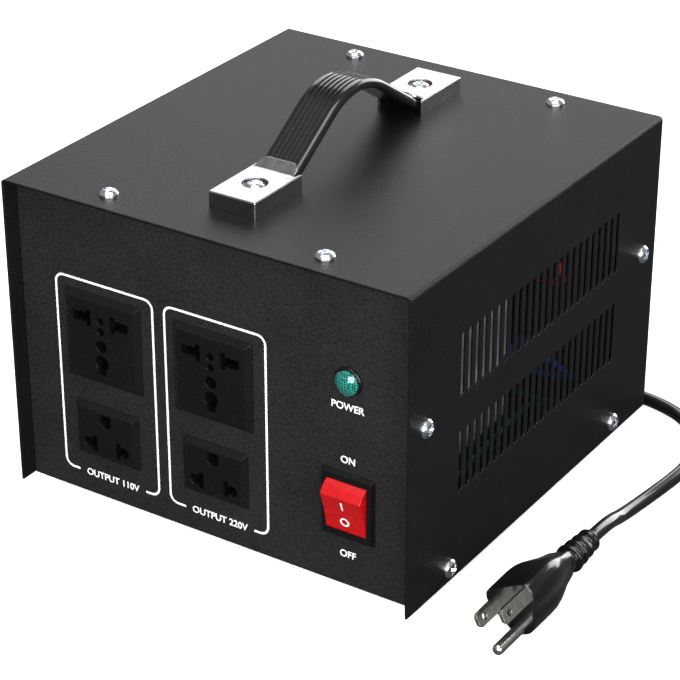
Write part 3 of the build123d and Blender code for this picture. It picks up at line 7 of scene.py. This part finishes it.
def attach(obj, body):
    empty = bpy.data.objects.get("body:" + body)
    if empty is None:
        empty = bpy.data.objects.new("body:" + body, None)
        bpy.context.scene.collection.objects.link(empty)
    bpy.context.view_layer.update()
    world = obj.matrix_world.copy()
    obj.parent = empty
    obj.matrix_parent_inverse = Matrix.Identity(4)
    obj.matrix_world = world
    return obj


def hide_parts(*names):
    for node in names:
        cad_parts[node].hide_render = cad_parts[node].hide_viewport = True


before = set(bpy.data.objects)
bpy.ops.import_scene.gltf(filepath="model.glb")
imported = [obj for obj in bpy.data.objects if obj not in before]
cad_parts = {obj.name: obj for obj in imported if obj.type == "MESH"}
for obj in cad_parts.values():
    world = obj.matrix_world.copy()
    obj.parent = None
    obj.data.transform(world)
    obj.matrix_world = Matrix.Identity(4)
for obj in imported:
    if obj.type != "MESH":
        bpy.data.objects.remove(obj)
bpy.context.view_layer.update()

# Chassis: a folded steel sheet that makes the tray, the front panel and the rear panel.
# It is powder coated black, and only its front shows in the usual view.
MM = 0.001


def linear(code):
    """An sRGB hex colour as linear light."""
    parts = [int(code[i:i + 2], 16) / 255 for i in (0, 2, 4)]
    return tuple(c / 12.92 if c <= 0.04045 else ((c + 0.055) / 1.055) ** 2.4 for c in parts) + (1.0,)


def add(tree, kind, settings=None, **links):
    """Adds a node, sets its properties, and sets or links its inputs by name, or by number as i0, i1."""
    node = tree.nodes.new("ShaderNode" + kind)
    for name, value in (settings or {}).items():
        setattr(node, name, value)
    for name, value in links.items():
        socket = node.inputs[int(name[1:])] if name[1:].isdigit() else node.inputs[name.replace("_", " ")]
        if isinstance(value, bpy.types.NodeSocket):
            tree.links.new(value, socket)
        else:
            socket.default_value = value
    return node


# Each finish mixes the specks of its own grain with soft patches about 36 mm across.
SPECK_LOW, SPECK_HIGH, SPECK_SHARE = 0.35, 0.65, 0.6
PATCH_SCALE, PATCH_SHARE = 28.0, 0.5


def surface(name, dark, light, rough, grain, relief, edge=0.3, rough_spread=0.08, stretch=(1, 1, 1),
            **inputs):
    """A finish of two near colours, with its grain, relief and eased edges given in millimetres."""
    made = bpy.data.materials.new(name)
    made.use_nodes = True
    tree = made.node_tree
    shader = tree.nodes["Principled BSDF"]
    place = add(tree, "TexCoord").outputs["Object"]
    scaled = add(tree, "Mapping", Vector=place, Scale=[s / (grain * MM) for s in stretch]).outputs[0]
    fine = add(tree, "TexNoise", Vector=scaled, Scale=1.0, Detail=3.0, Roughness=0.6).outputs[0]
    broad = add(tree, "TexNoise", Vector=place, Scale=PATCH_SCALE, Detail=2.0).outputs[0]
    specks = add(tree, "MapRange", Value=fine, i1=SPECK_LOW, i2=SPECK_HIGH, i3=0.0, i4=SPECK_SHARE)
    share = add(tree, "Math", {"operation": "MULTIPLY_ADD", "use_clamp": True}, i0=broad, i1=PATCH_SHARE,
                i2=specks.outputs[0])
    colour = add(tree, "Mix", {"data_type": "RGBA"}, Factor=share.outputs[0], i6=linear(dark),
                 i7=linear(light))
    tree.links.new(colour.outputs[2], shader.inputs["Base Color"])
    roughness = add(tree, "MapRange", Value=fine, i3=rough - rough_spread, i4=rough + rough_spread)
    tree.links.new(roughness.outputs[0], shader.inputs["Roughness"])
    eased = add(tree, "Bevel", {"samples": 4}, Radius=edge * MM)
    bump = add(tree, "Bump", Strength=0.6, Distance=relief * MM, Height=fine, Normal=eased.outputs[0])
    tree.links.new(bump.outputs[0], shader.inputs["Normal"])
    for key, value in inputs.items():
        shader.inputs[key.replace("_", " ")].default_value = value
    return made


def dress(material, *nodes):
    """Gives solids of the frame their finish."""
    for name in nodes:
        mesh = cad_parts[name].data
        mesh.materials.clear()
        mesh.materials.append(material)


# Baked powder gives a soft sheen broken by small grain, which is 0.3 mm and is drawn at 0.9 mm to show.
panel_paint = surface("semi gloss powder coat on steel", "080809", "28282a", 0.42, grain=0.9, relief=0.5,
                      edge=0.8, Specular_IOR_Level=0.28)
dress(panel_paint, "chassis")

# Rubber feet: four moulded buffers, each held under the tray by a zinc plated screw.
# They are black and dull, and lift the tray off the floor.
rubber = surface("moulded natural rubber", "0c0c0c", "171717", 0.7, grain=0.6, relief=0.03, edge=0.5)
dress(rubber, "feet")
# Bright zinc plating is a mirror softened by the steel under it, with a cool tint.
zinc = surface("bright zinc plated steel", "ccd2da", "f4f7fb", 0.2, grain=1.4, relief=0.015, edge=0.12,
               Metallic=1.0)
dress(zinc, "foot_screws")

# Transformer core: stamped silicon steel sheets, stacked from front to back and bolted.
# The bare cut edges are pale and ribbed; the sheets are 0.5 mm and are drawn as 1 mm to show.
core_steel = surface("stacked silicon steel sheets", "a6a9ad", "e2e5e8", 0.35, grain=1.0, relief=0.12,
                     edge=0.2, stretch=(0.1, 2.0, 0.1), Metallic=0.2)
dress(core_steel, "transformer_core")
dress(zinc, "core_bolts")

# Transformer coil: enamelled copper wound on a former and wrapped in varnished tape.
# The tape is amber and lies in bands, so its tone runs in steps up the coil.
tape = surface("varnished winding tape", "6d5a2c", "a58c4c", 0.4, grain=3.0, relief=0.08,
               stretch=(0.3, 0.3, 1.6))
dress(tape, "transformer_coil")

# Transformer mounts: vulcanised fibre channels under the core, and steel angles clamped to the tray.
# The fibre is dull and even; the angles are plated as the screws are.
fibre = surface("green vulcanised fibre", "16563c", "28805c", 0.6, grain=1.2, relief=0.03)
dress(fibre, "transformer_rails")
dress(zinc, "transformer_clamps", "clamp_bolts")

# Inner leads: stranded copper in extruded vinyl, one colour for each circuit.
# Extruded vinyl is smooth with a mild gloss.
for node, colour, dark, light in (("wires_blue", "blue", "1440c0", "2f66ee"),
                                  ("wires_red", "red", "c01810", "ee3024"),
                                  ("wires_feed", "black feed", "0c0c0d", "1c1c1e"),
                                  ("wires_links", "black link", "0d0d0e", "1d1d1f"),
                                  ("wire_earth", "green", "16602c", "26843e")):
    dress(surface(f"{colour} extruded vinyl", dark, light, 0.35, grain=2.0, relief=0.01), node)

# Outlets: two for the plugs of many countries, above two for flat or round pins.
# They are moulded in black plastic with a clean gloss, and stamped brass contacts stand in their openings.
glossy_plastic = surface("moulded black polycarbonate", "060607", "101012", 0.26, grain=1.0, relief=0.01,
                         edge=0.35, Specular_IOR_Level=0.35)
dress(glossy_plastic, "outlet_universal_left", "outlet_universal_right", "outlet_two_pin_left",
      "outlet_two_pin_right")
# Stamped brass is yellow and smooth, with a mild satin from rolling.
brass = surface("stamped brass", "a88a45", "d2b469", 0.28, grain=1.5, relief=0.01, edge=0.1, Metallic=1.0)
dress(brass, "contacts_universal", "contacts_two_pin")

# Printing on the front: white ink, screen printed straight onto the powder coat.
# A rounded line frames each column of outlets and opens at the bottom for a plain voltage.
# Screen ink is opaque, flat and nearly matt.
ink = surface("white screen ink", "efefec", "fcfcfa", 0.5, grain=0.5, relief=0.01)
FRONT_FACE, REAR_FACE, INK_PROUD = -97.0, 97.0, 0.03
CAPITAL, CAPITAL_SHARE, LETTER_DEPTH, LETTER_WEIGHT = 3.1, 0.69, 0.02, 0.11
FRAME_WIDTH, FRAME_LOW, FRAME_HIGH = 50.6, 16.3, 110.1
FRAME_CORNER, FRAME_LINE, CORNER_STEPS = 4.0, 1.05, 6


def piece(name, shape, material, body="housing", place=None):
    """A new shown piece that moves with a body."""
    made = bpy.data.objects.new(name, shape)
    bpy.context.collection.objects.link(made)
    if place:
        made.matrix_world = place
    made.data.materials.append(material)
    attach(made, body)
    return made


def framing_line(name, middle, gap_left, gap_right):
    """A printed line round a column of outlets, with a gap between two places for its caption."""
    left, right = middle - FRAME_WIDTH / 2 + FRAME_CORNER, middle + FRAME_WIDTH / 2 - FRAME_CORNER
    low, high = FRAME_LOW + FRAME_CORNER, FRAME_HIGH - FRAME_CORNER
    spots = [Vector((gap_left, FRAME_LOW))]
    for x, z, first in ((left, low, 270), (left, high, 180), (right, high, 90), (right, low, 0)):
        for i in range(CORNER_STEPS + 1):
            angle = math.radians(first - 90 * i / CORNER_STEPS)
            spots.append(Vector((x + FRAME_CORNER * math.cos(angle), z + FRAME_CORNER * math.sin(angle))))
    spots.append(Vector((gap_right, FRAME_LOW)))
    rows = []
    for i, spot in enumerate(spots):
        way = (spots[min(i + 1, len(spots) - 1)] - spots[max(i - 1, 0)]).normalized()
        side = Vector((-way.y, way.x)) * FRAME_LINE / 2
        rows += [spot + side, spot - side]
    mesh = bpy.data.meshes.new(name)
    mesh.from_pydata([(r.x * MM, (FRONT_FACE - INK_PROUD) * MM, r.y * MM) for r in rows], [],
                     [(2 * i, 2 * i + 2, 2 * i + 3, 2 * i + 1) for i in range(len(spots) - 1)])
    return piece(name, mesh, ink)


def caption(name, words, height, place, body="housing"):
    """Printed letters of a given capital height, centred on a place; capitals fill a share of the size."""
    text = bpy.data.curves.new(name, "FONT")
    text.body = words
    text.size = height / CAPITAL_SHARE * MM
    text.align_x = "CENTER"
    text.align_y = "CENTER"
    text.extrude = LETTER_DEPTH * MM
    text.offset = LETTER_WEIGHT * MM
    return piece(name, text, ink, body, place)


def on_front(x, z):
    """Stands letters up on the front panel."""
    spot = Vector((x, FRONT_FACE - INK_PROUD, z)) * MM
    return Matrix.Translation(spot) @ Matrix.Rotation(math.pi / 2, 4, "X")


framing_line("frame_left", -55.0, gap_left=-72.9, gap_right=-36.8)
framing_line("frame_right", 1.7, gap_left=-15.6, gap_right=19.9)
for name, words, x, z in (("caption_left", "OUTPUT 110V", -54.9, 16.2),
                          ("caption_right", "OUTPUT 220V", 2.1, 16.2),
                          ("caption_power", "POWER", 66.3, 90.0),
                          ("caption_on", "ON", 66.6, 65.5),
                          ("caption_off", "OFF", 66.6, 20.9)):
    caption(name, words, CAPITAL, on_front(x, z))

# Pilot lamp: a green lens pressed into a black ring, held by a nut behind the panel.
# The lens is polished and clear, with small facets in its back. Their layout is drawn as a crossed pattern,
# and the glints and shade they show are painted into it as light and dark green squares.
LENS_DARK, LENS_LIGHT, FACET = "0a4642", "2c9c8c", 0.87
lens = surface("faceted green acrylic", LENS_DARK, LENS_LIGHT, 0.12, grain=3.0, relief=0.01, edge=0.2,
               Coat_Weight=0.8, Transmission_Weight=0.25)
tree = lens.node_tree
place = add(tree, "TexCoord").outputs["Object"]
across = add(tree, "Mapping", Vector=place, Scale=(1 / MM, 1 / MM, 1 / MM),
             Rotation=(0, math.radians(45), 0))
# Painted highlight and shade: the light squares stand for the facets' glints and the dark squares for their
# shade, set as the lens's base colour.
facet_glints_and_shade = add(tree, "TexChecker", Vector=across.outputs[0], Scale=1 / FACET, Color1=linear(LENS_DARK),
             Color2=linear(LENS_LIGHT))
tree.links.new(facet_glints_and_shade.outputs[0], tree.nodes["Principled BSDF"].inputs["Base Color"])
dress(lens, "lamp_lens")
dress(glossy_plastic, "lamp_ring")
dress(zinc, "lamp_nut")

# Rocker switch: a red rocker on trunnions in a black snap-in frame, with brass tabs behind.
# Light enters its translucent red plastic a little, and its two marks are printed on its face.
red_plastic = surface("moulded translucent red nylon", "9c060b", "bc0b12", 0.3, grain=2.0, relief=0.01,
                      edge=0.5, Coat_Weight=0.15, Subsurface_Weight=0.1, Subsurface_Scale=0.002)
dress(red_plastic, "switch_rocker")
dress(glossy_plastic, "switch_frame")
dress(brass, "switch_tabs")
PIVOT, FACE_REACH = Vector((66.9, -92.205, 44.5)), 9.15
# At rest the rocker is pressed in at OFF. Its face is slightly hollow, so each mark leans a little.
REST_TILT, FACE_LEAN = math.radians(15), math.radians(3)
for name, words, height, up in (("mark_on", "I", 4.4, 4.6), ("mark_off", "O", 4.0, -4.4)):
    place = (Matrix.Translation(PIVOT * MM) @ Matrix.Rotation(REST_TILT, 4, "X")
             @ Matrix.Translation((0, -FACE_REACH * MM, up * MM)))
    stood = math.pi / 2 + math.copysign(FACE_LEAN, up)
    caption(name, words, height, place @ Matrix.Rotation(stood, 4, "X"), "rocker")

# Voltage selector on the rear: a red knob that slides in a black body, between two printed voltages.
# It is moulded in the same plastics as the switch, and two small screws hold it.
SELECTOR_CAPITAL, SELECTOR_CAPTION_Z = 2.8, 103.5
dress(red_plastic, "selector_slider")
dress(glossy_plastic, "selector_body")
for name, words, x in (("caption_low_volts", "110V", -31), ("caption_high_volts", "220V", -49)):
    spot = Vector((x, REAR_FACE + INK_PROUD, SELECTOR_CAPTION_Z)) * MM
    stood = Matrix.Rotation(math.pi, 4, "Z") @ Matrix.Rotation(math.pi / 2, 4, "X")
    caption(name, words, SELECTOR_CAPITAL, Matrix.Translation(spot) @ stood)

# Reset breaker on the rear: a threaded black body held by a plated nut, with a white button.
# The button is plain moulded plastic with a mild gloss.
dress(glossy_plastic, "breaker_body")
dress(zinc, "breaker_nut")
white_nylon = surface("moulded white nylon", "c4c3bc", "dddcd6", 0.35, grain=1.0, relief=0.01)
dress(white_nylon, "breaker_button")

# Cover: a steel sheet folded over the top and both sides, with two rows of punched slots in each side.
# Its baked paint is smoother than the chassis' powder coat, and its grain is drawn at 0.9 mm to show.
cover_paint = surface("grained baked paint on steel", "040405", "151517", 0.42, grain=0.9, relief=0.3,
                      edge=0.9, Specular_IOR_Level=0.2)
dress(cover_paint, "cover")

# Handle: a moulded vinyl strap, ribbed along its top, held down at both ends under pressed caps.
# The strap is polished and shows long highlights; the caps are chrome plated, smooth but not flawless.
strap_vinyl = surface("polished black vinyl", "060608", "161619", 0.18, grain=0.9, relief=0.015, edge=0.4,
                      stretch=(1, 0.25, 1), Coat_Weight=0.4)
dress(strap_vinyl, "handle_strap")
chrome = surface("pressed chrome plated steel", "a0a0a2", "c2c2c4", 0.2, grain=4.0, relief=0.008, edge=0.5,
                 rough_spread=0.04, Metallic=1.0)
dress(chrome, "handle_cap_front", "handle_cap_rear")
dress(zinc, "handle_nuts")

# Screws: pan heads with a cross recess, cold headed in steel and zinc plated.
# Two sizes hold the cover and the caps, and a small one holds the selector.
# The dome's curve is in shares of the head's width and height, as the recess is.
HEAD_CURVE = ((0.2, 0.97), (0.34, 0.82), (0.44, 0.58), (0.49, 0.3), (0.5, 0))
HEAD_TURNS = 40
RECESS_LENGTH, RECESS_WIDTH, RECESS_DEPTH = 0.58, 0.15, 0.55
# Each screw stops at its own turn, in degrees.
RECESS_TURN, SCREW_TURN = 20, 37


def screw_mesh(name, head, height):
    """A domed head with a cross cut into it, standing on the ground plane; sizes in millimetres."""
    solid = bmesh.new()
    top = solid.verts.new((0, 0, height * MM))
    rings = []
    turns = [2 * math.pi * i / HEAD_TURNS for i in range(HEAD_TURNS)]
    for out, up in HEAD_CURVE:
        spots = [Vector((head * out * math.cos(a), head * out * math.sin(a), height * up)) for a in turns]
        rings.append([solid.verts.new(spot * MM) for spot in spots])
    for i in range(HEAD_TURNS):
        j = (i + 1) % HEAD_TURNS
        solid.faces.new((top, rings[0][i], rings[0][j]))
        for high, low in zip(rings, rings[1:]):
            solid.faces.new((high[i], low[i], low[j], high[j]))
    solid.faces.new(list(reversed(rings[-1])))
    mesh = bpy.data.meshes.new(name)
    solid.to_mesh(mesh)
    solid.free()
    blank = bpy.data.objects.new(name + "_blank", mesh)
    bpy.context.collection.objects.link(blank)
    cutters = []
    for i in range(2):
        bpy.ops.mesh.primitive_cube_add(size=1, location=(0, 0, height * MM))
        cutter = bpy.context.object
        cutter.scale = Vector((head * RECESS_LENGTH, head * RECESS_WIDTH, 2 * height * RECESS_DEPTH)) * MM
        cutter.rotation_euler = (0, 0, math.radians(RECESS_TURN + 90 * i))
        cut = blank.modifiers.new("cross", "BOOLEAN")
        cut.object = cutter
        cut.operation = "DIFFERENCE"
        cutters.append(cutter)
    bpy.context.view_layer.update()
    done = bpy.data.meshes.new_from_object(blank.evaluated_get(bpy.context.evaluated_depsgraph_get()))
    for spent in cutters + [blank]:
        bpy.data.objects.remove(spent)
    done.name = name
    done.materials.append(zinc)
    return done


def screws(name, mesh, node, places, out):
    """Screw heads at places in millimetres, facing out, in place of a node's plain ones."""
    for i, place in enumerate(places):
        made = bpy.data.objects.new(f"{name}_{i}", mesh)
        bpy.context.collection.objects.link(made)
        facing = Vector(out(place)).to_track_quat("Z", "Y").to_matrix().to_4x4()
        turned = Matrix.Rotation(math.radians(SCREW_TURN * i), 4, "Z")
        made.matrix_world = Matrix.Translation(Vector(place) * MM) @ facing @ turned
        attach(made, "housing")
        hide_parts(node)


COVER_TOP, COVER_SIDE = 151, 100
FLANGE_Y, TOP_X, SIDE_Z, LOW_Y, LOW_Z = 92.6, 53, 89, 72, 12.6
CAP_TOP, CAP_SCREW_Y = 156.5, 64
SELECTOR_SCREW_Z, SELECTOR_SCREWS_X = 95, (-55, -25)
sheet_screw = screw_mesh("sheet_screw", head=8.4, height=2.5)
screws("top_screw", sheet_screw, "top_screws",
       [(x, y, COVER_TOP) for x in (-TOP_X, TOP_X) for y in (-FLANGE_Y, FLANGE_Y)], lambda place: (0, 0, 1))
side_places = ((-FLANGE_Y, SIDE_Z), (FLANGE_Y, SIDE_Z), (-LOW_Y, LOW_Z), (LOW_Y, LOW_Z))
screws("side_screw", sheet_screw, "side_screws",
       [(x, y, z) for x in (-COVER_SIDE, COVER_SIDE) for y, z in side_places],
       lambda place: (math.copysign(1, place[0]), 0, 0))
screws("handle_screw", screw_mesh("handle_screw", head=9.0, height=2.4), "handle_screws",
       [(0, y, CAP_TOP) for y in (-CAP_SCREW_Y, CAP_SCREW_Y)], lambda place: (0, 0, 1))
screws("selector_screw", screw_mesh("selector_screw", head=5.4, height=1.6), "selector_screws",
       [(x, REAR_FACE, SELECTOR_SCREW_Z) for x in SELECTOR_SCREWS_X], lambda place: (0, 1, 0))

# Plug: two flat blades and a round earth pin, with vinyl moulded over them and the end of the lead.
# The body is wide and flat at the blades and round at the earth pin; its ringed boot lets the lead bend.
# The vinyl comes glossy from a polished mould, with soft edges.
moulded_vinyl = surface("moulded glossy vinyl", "050506", "0e0e10", 0.22, grain=0.9, relief=0.012, edge=1.0,
                        Coat_Weight=0.5)
BOOT_START, PLUG_ROLL, SHARP_TURN = Vector((137, -18, 11)), math.radians(28), math.radians(38)
plug_across = Vector((math.cos(PLUG_ROLL), 0, math.sin(PLUG_ROLL)))
plug_down = Vector((math.sin(PLUG_ROLL), 0, -math.cos(PLUG_ROLL)))


def skin(solid, rings):
    """Closes rings along the plug into one skin; each is a distance and its places across the plug."""
    rows = [[solid.verts.new((BOOT_START + Vector((0, -away, 0)) + plug_across * u + plug_down * v) * MM)
             for u, v in spots] for away, spots in rings]
    for low, high in zip(rows, rows[1:]):
        for i in range(len(low)):
            j = (i + 1) % len(low)
            solid.faces.new((low[i], low[j], high[j], high[i]))
    solid.faces.new(rows[0])
    solid.faces.new(rows[-1])


def rounded(corners, reach, steps=6):
    """A closed outline with each corner turned by a short curve that starts a reach before it."""
    spots = []
    for i, corner in enumerate(corners):
        here, last, ahead = Vector(corner), Vector(corners[i - 1]), Vector(corners[(i + 1) % len(corners)])
        start = here + (last - here).normalized() * min(reach, (last - here).length / 2)
        end = here + (ahead - here).normalized() * min(reach, (ahead - here).length / 2)
        for step in range(steps):
            t = step / (steps - 1)
            spots.append(start * (1 - t) ** 2 + here * 2 * t * (1 - t) + end * t ** 2)
    return spots


# Half of the body's widest outline, from the blades' side to the earth pin's, and how it grows to the face.
half_outline = [(11.8, -11.4), (11.8, -2.2), (7.4, 3.0), (7.0, 7.2), (2.9, 11.3)]
outline = rounded(half_outline + [(-u, v) for u, v in reversed(half_outline)], reach=5.2)
BODY_START, BODY_END = 24.0, 64.0
body_growth = ((BODY_START, 0.50), (24.6, 0.56), (27, 0.60), (31, 0.68), (35, 0.80), (39, 0.91), (43, 0.98),
               (47, 1.0), (63.2, 0.99), (BODY_END, 0.95))
solid = bmesh.new()
skin(solid, [(away, [spot * share for spot in outline]) for away, share in body_growth])
# The boot is given by distances and radii; its rings grow towards the body and have eased edges.
BOOT_RINGS, BOOT_NECK, BOOT_TURNS = 4, 4.5, 40
RING_START, RING_PITCH, RING_LENGTH, RING_RADIUS, RING_GROWTH = 0.6, 5.4, 2.6, 5.2, 0.4
RING_PROFILE = ((0.4, -0.4), (0.9, 0.0), (1.7, 0.0), (2.3, -0.4))
boot = [(0, 3.6), (0.3, 4.4)]
for i in range(BOOT_RINGS):
    start, ring = RING_START + RING_PITCH * i, RING_RADIUS + RING_GROWTH * i
    boot.append((start, BOOT_NECK))
    boot += [(start + along, ring + rise) for along, rise in RING_PROFILE]
    boot.append((start + RING_LENGTH, BOOT_NECK + 0.1))
boot.append((BODY_START + 0.4, 4.8))
turns = [2 * math.pi * i / BOOT_TURNS for i in range(BOOT_TURNS)]
skin(solid, [(away, [(radius * math.cos(a), radius * math.sin(a)) for a in turns]) for away, radius in boot])
bmesh.ops.recalc_face_normals(solid, faces=solid.faces)
for face in solid.faces:
    face.smooth = True
plug_mesh = bpy.data.meshes.new("plug_moulding")
solid.to_mesh(plug_mesh)
solid.free()
plug_mesh.set_sharp_from_angle(angle=SHARP_TURN)
plug = piece("plug_moulding", plug_mesh, moulded_vinyl)
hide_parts("plug_body")
# Nickel plating is a warm grey mirror, a little worn by use.
nickel = surface("nickel plated brass", "b9b7b0", "e2e0da", 0.22, grain=1.2, relief=0.008, edge=0.15,
                 Metallic=1.0)
dress(nickel, "plug_blades", "plug_earth_pin")

# Strain relief: moulded in the same vinyl as the plug, and snapped into the rear panel.
# Its grooves let it bend with the lead where that leaves the housing.
dress(moulded_vinyl, "lead_gland")

# Mains lead: round flexible cord in one length, its black vinyl jacket extruded smooth with a long gloss.
# It lies as a flat coil of two layers behind the housing, then runs past the housing's side to the plug.
jacket = surface("extruded glossy vinyl", "050506", "0e0e10", 0.2, grain=2.5, relief=0.01,
                 stretch=(1, 0.2, 1), Coat_Weight=0.6)
CORD, LAYER_RISE = 6.2, 6.8
ON_FLOOR, ON_LAYER = CORD / 2, CORD / 2 + LAYER_RISE
GLAND_X, GLAND_END, GLAND_Z = -74.0, 124, 18
COIL_Y, COIL_OUTER, COIL_HALF_PITCH = 190.0, 45.0, 4.0
CLIMB_AT, HALF_TURNS, ARC_STEPS = 5, 11, 8


def coil_place(k):
    """The lead's middle after k half turns: inwards on the floor, then outwards on the layer above."""
    steps = k if k <= CLIMB_AT else 2 * CLIMB_AT + 1 - k
    side = -1 if k % 2 == 0 else 1
    x = GLAND_X + COIL_OUTER + side * (COIL_OUTER - COIL_HALF_PITCH * steps)
    return Vector((x, COIL_Y + CORD, ON_FLOOR if k <= CLIMB_AT else ON_LAYER))


# From the strain relief down to the floor, round the coil, then past the corner and along the side.
route = [(GLAND_X, GLAND_END, GLAND_Z), (GLAND_X, 144, GLAND_Z), (GLAND_X, 170, ON_FLOOR),
         (GLAND_X, COIL_Y, ON_FLOOR)]
for k in range(HALF_TURNS):
    a, b = coil_place(k), coil_place(k + 1)
    middle, reach = (a + b) / 2, (a.x - b.x) / 2
    radius = abs(reach) / math.cos(math.pi / 2 / ARC_STEPS)
    for step in range(ARC_STEPS):
        share = (step + 0.5) / ARC_STEPS
        route.append((middle.x + math.copysign(radius, reach) * math.cos(math.pi * share),
                      middle.y + (1 if k % 2 == 0 else -1) * radius * math.sin(math.pi * share),
                      a.z + (b.z - a.z) * share))
route += [(16, COIL_Y, ON_LAYER), (16, 167, ON_LAYER)]
route += [(x, y, ON_FLOOR) for x, y in ((21, 141), (38, 121), (64, 113.5), (95, 117), (123, 108),
                                        (142.2, 82), (134.6, 17))]
route += [(137, -2, 11), tuple(BOOT_START)]
cord_line = bpy.data.curves.new("mains_lead", "CURVE")
cord_line.dimensions = "3D"
cord_line.bevel_depth = CORD / 2 * MM
cord_line.bevel_resolution = 8
cord_line.resolution_u = 8
cord_line.use_fill_caps = True
spline = cord_line.splines.new("NURBS")
spline.points.add(len(route) - 1)
for point, spot in zip(spline.points, route):
    point.co = (*(c * MM for c in spot), 1.0)
spline.order_u = 3
spline.use_endpoint_u = True
mains_lead = piece("mains_lead", cord_line, jacket)
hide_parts("lead_start", "lead_coil", "lead_end")

# Camera: a long lens at the photograph's angle, to the right of the front and above it.
# Its place was fitted to the corners of the housing.
eye = bpy.data.objects.new("camera", bpy.data.cameras.new("camera"))
bpy.context.collection.objects.link(eye)
azimuth, elevation = math.radians(33.172), math.radians(28.038)
EYE_AWAY, EYE_TARGET = 1.0275, Vector((0.0224, -0.0353, 0.080))
back = Vector((math.sin(azimuth) * math.cos(elevation), -math.cos(azimuth) * math.cos(elevation),
               math.sin(elevation)))
eye.location = EYE_TARGET + back * EYE_AWAY
eye.rotation_euler = back.to_track_quat("Z", "Y").to_euler()
eye.data.lens = 127.99
eye.data.sensor_width = 36.0
bpy.context.scene.camera = eye

# Floor: white studio paper that keeps the object's shadow.
# The camera sees it white, and it throws less light back at the object than white paper would.
FLOOR_SIZE, FLOOR_Z, FLOOR_GLOW = 2.2, -0.0002, 0.62
bpy.ops.mesh.primitive_plane_add(size=FLOOR_SIZE, location=(0, 0, FLOOR_Z))
floor = bpy.context.object
floor.name = "floor"
paper = bpy.data.materials.new("matt white paper")
paper.use_nodes = True
tree = paper.node_tree
shader = tree.nodes["Principled BSDF"]
seen = add(tree, "LightPath").outputs["Is Camera Ray"]
tone = add(tree, "Mix", {"data_type": "RGBA"}, Factor=seen, i6=linear("4c4c4c"), i7=linear("f4f4f4"))
glow = add(tree, "Math", {"operation": "MULTIPLY"}, i0=seen, i1=FLOOR_GLOW)
tree.links.new(tone.outputs[2], shader.inputs["Base Color"])
tree.links.new(glow.outputs[0], shader.inputs["Emission Strength"])
shader.inputs["Emission Color"].default_value = (1, 1, 1, 1)
shader.inputs["Roughness"].default_value = 0.9
shader.inputs["Specular IOR Level"].default_value = 0.0
floor.data.materials.append(paper)

# Lamps: soft boxes above, behind, in front and at the right, each aimed at the housing's middle.
# The one above gives the top its grey, and the one at the right shows the grain of the dark side.
housing_middle = Vector((0, 0, 0.08))
for name, spot, size, watts in (("key", (-1.0, 1.5, 1.15), 1.2, 10),
                                ("top", (0.2, -0.5, 1.9), 1.6, 34),
                                ("front", (0.4, -1.2, 0.45), 0.8, 17),
                                ("side", (1.6, -0.9, 0.6), 1.2, 34),
                                ("rear", (0.3, 1.8, 0.6), 1.3, 26)):
    lamp = bpy.data.objects.new(name, bpy.data.lights.new(name, "AREA"))
    lamp.data.size = size
    lamp.data.energy = watts
    lamp.location = spot
    lamp.rotation_euler = (Vector(spot) - housing_middle).to_track_quat("Z", "Y").to_euler()
    bpy.context.collection.objects.link(lamp)

# Surround: white to the camera and through clear plastic, and a low even light on everything.
# Mirrors see it a little brighter, so that bare metal doesn't turn black.
ROOM_LEVEL, GLOSS_LEVEL = 0.15, 0.12
world = bpy.data.worlds.new("studio")
world.use_nodes = True
bpy.context.scene.world = world
tree = world.node_tree
path = add(tree, "LightPath")
shown = add(tree, "Math", {"operation": "MAXIMUM"}, i0=path.outputs["Is Camera Ray"],
            i1=path.outputs["Is Transmission Ray"])
level = add(tree, "MapRange", Value=shown.outputs[0], i3=ROOM_LEVEL, i4=1.0)
gloss = add(tree, "Math", {"operation": "MULTIPLY_ADD"}, i0=path.outputs["Is Glossy Ray"], i1=GLOSS_LEVEL,
            i2=level.outputs[0])
tree.nodes["Background"].inputs["Color"].default_value = (1, 1, 1, 1)
tree.links.new(gloss.outputs[0], tree.nodes["Background"].inputs["Strength"])
bpy.context.scene.view_settings.view_transform = "Standard"
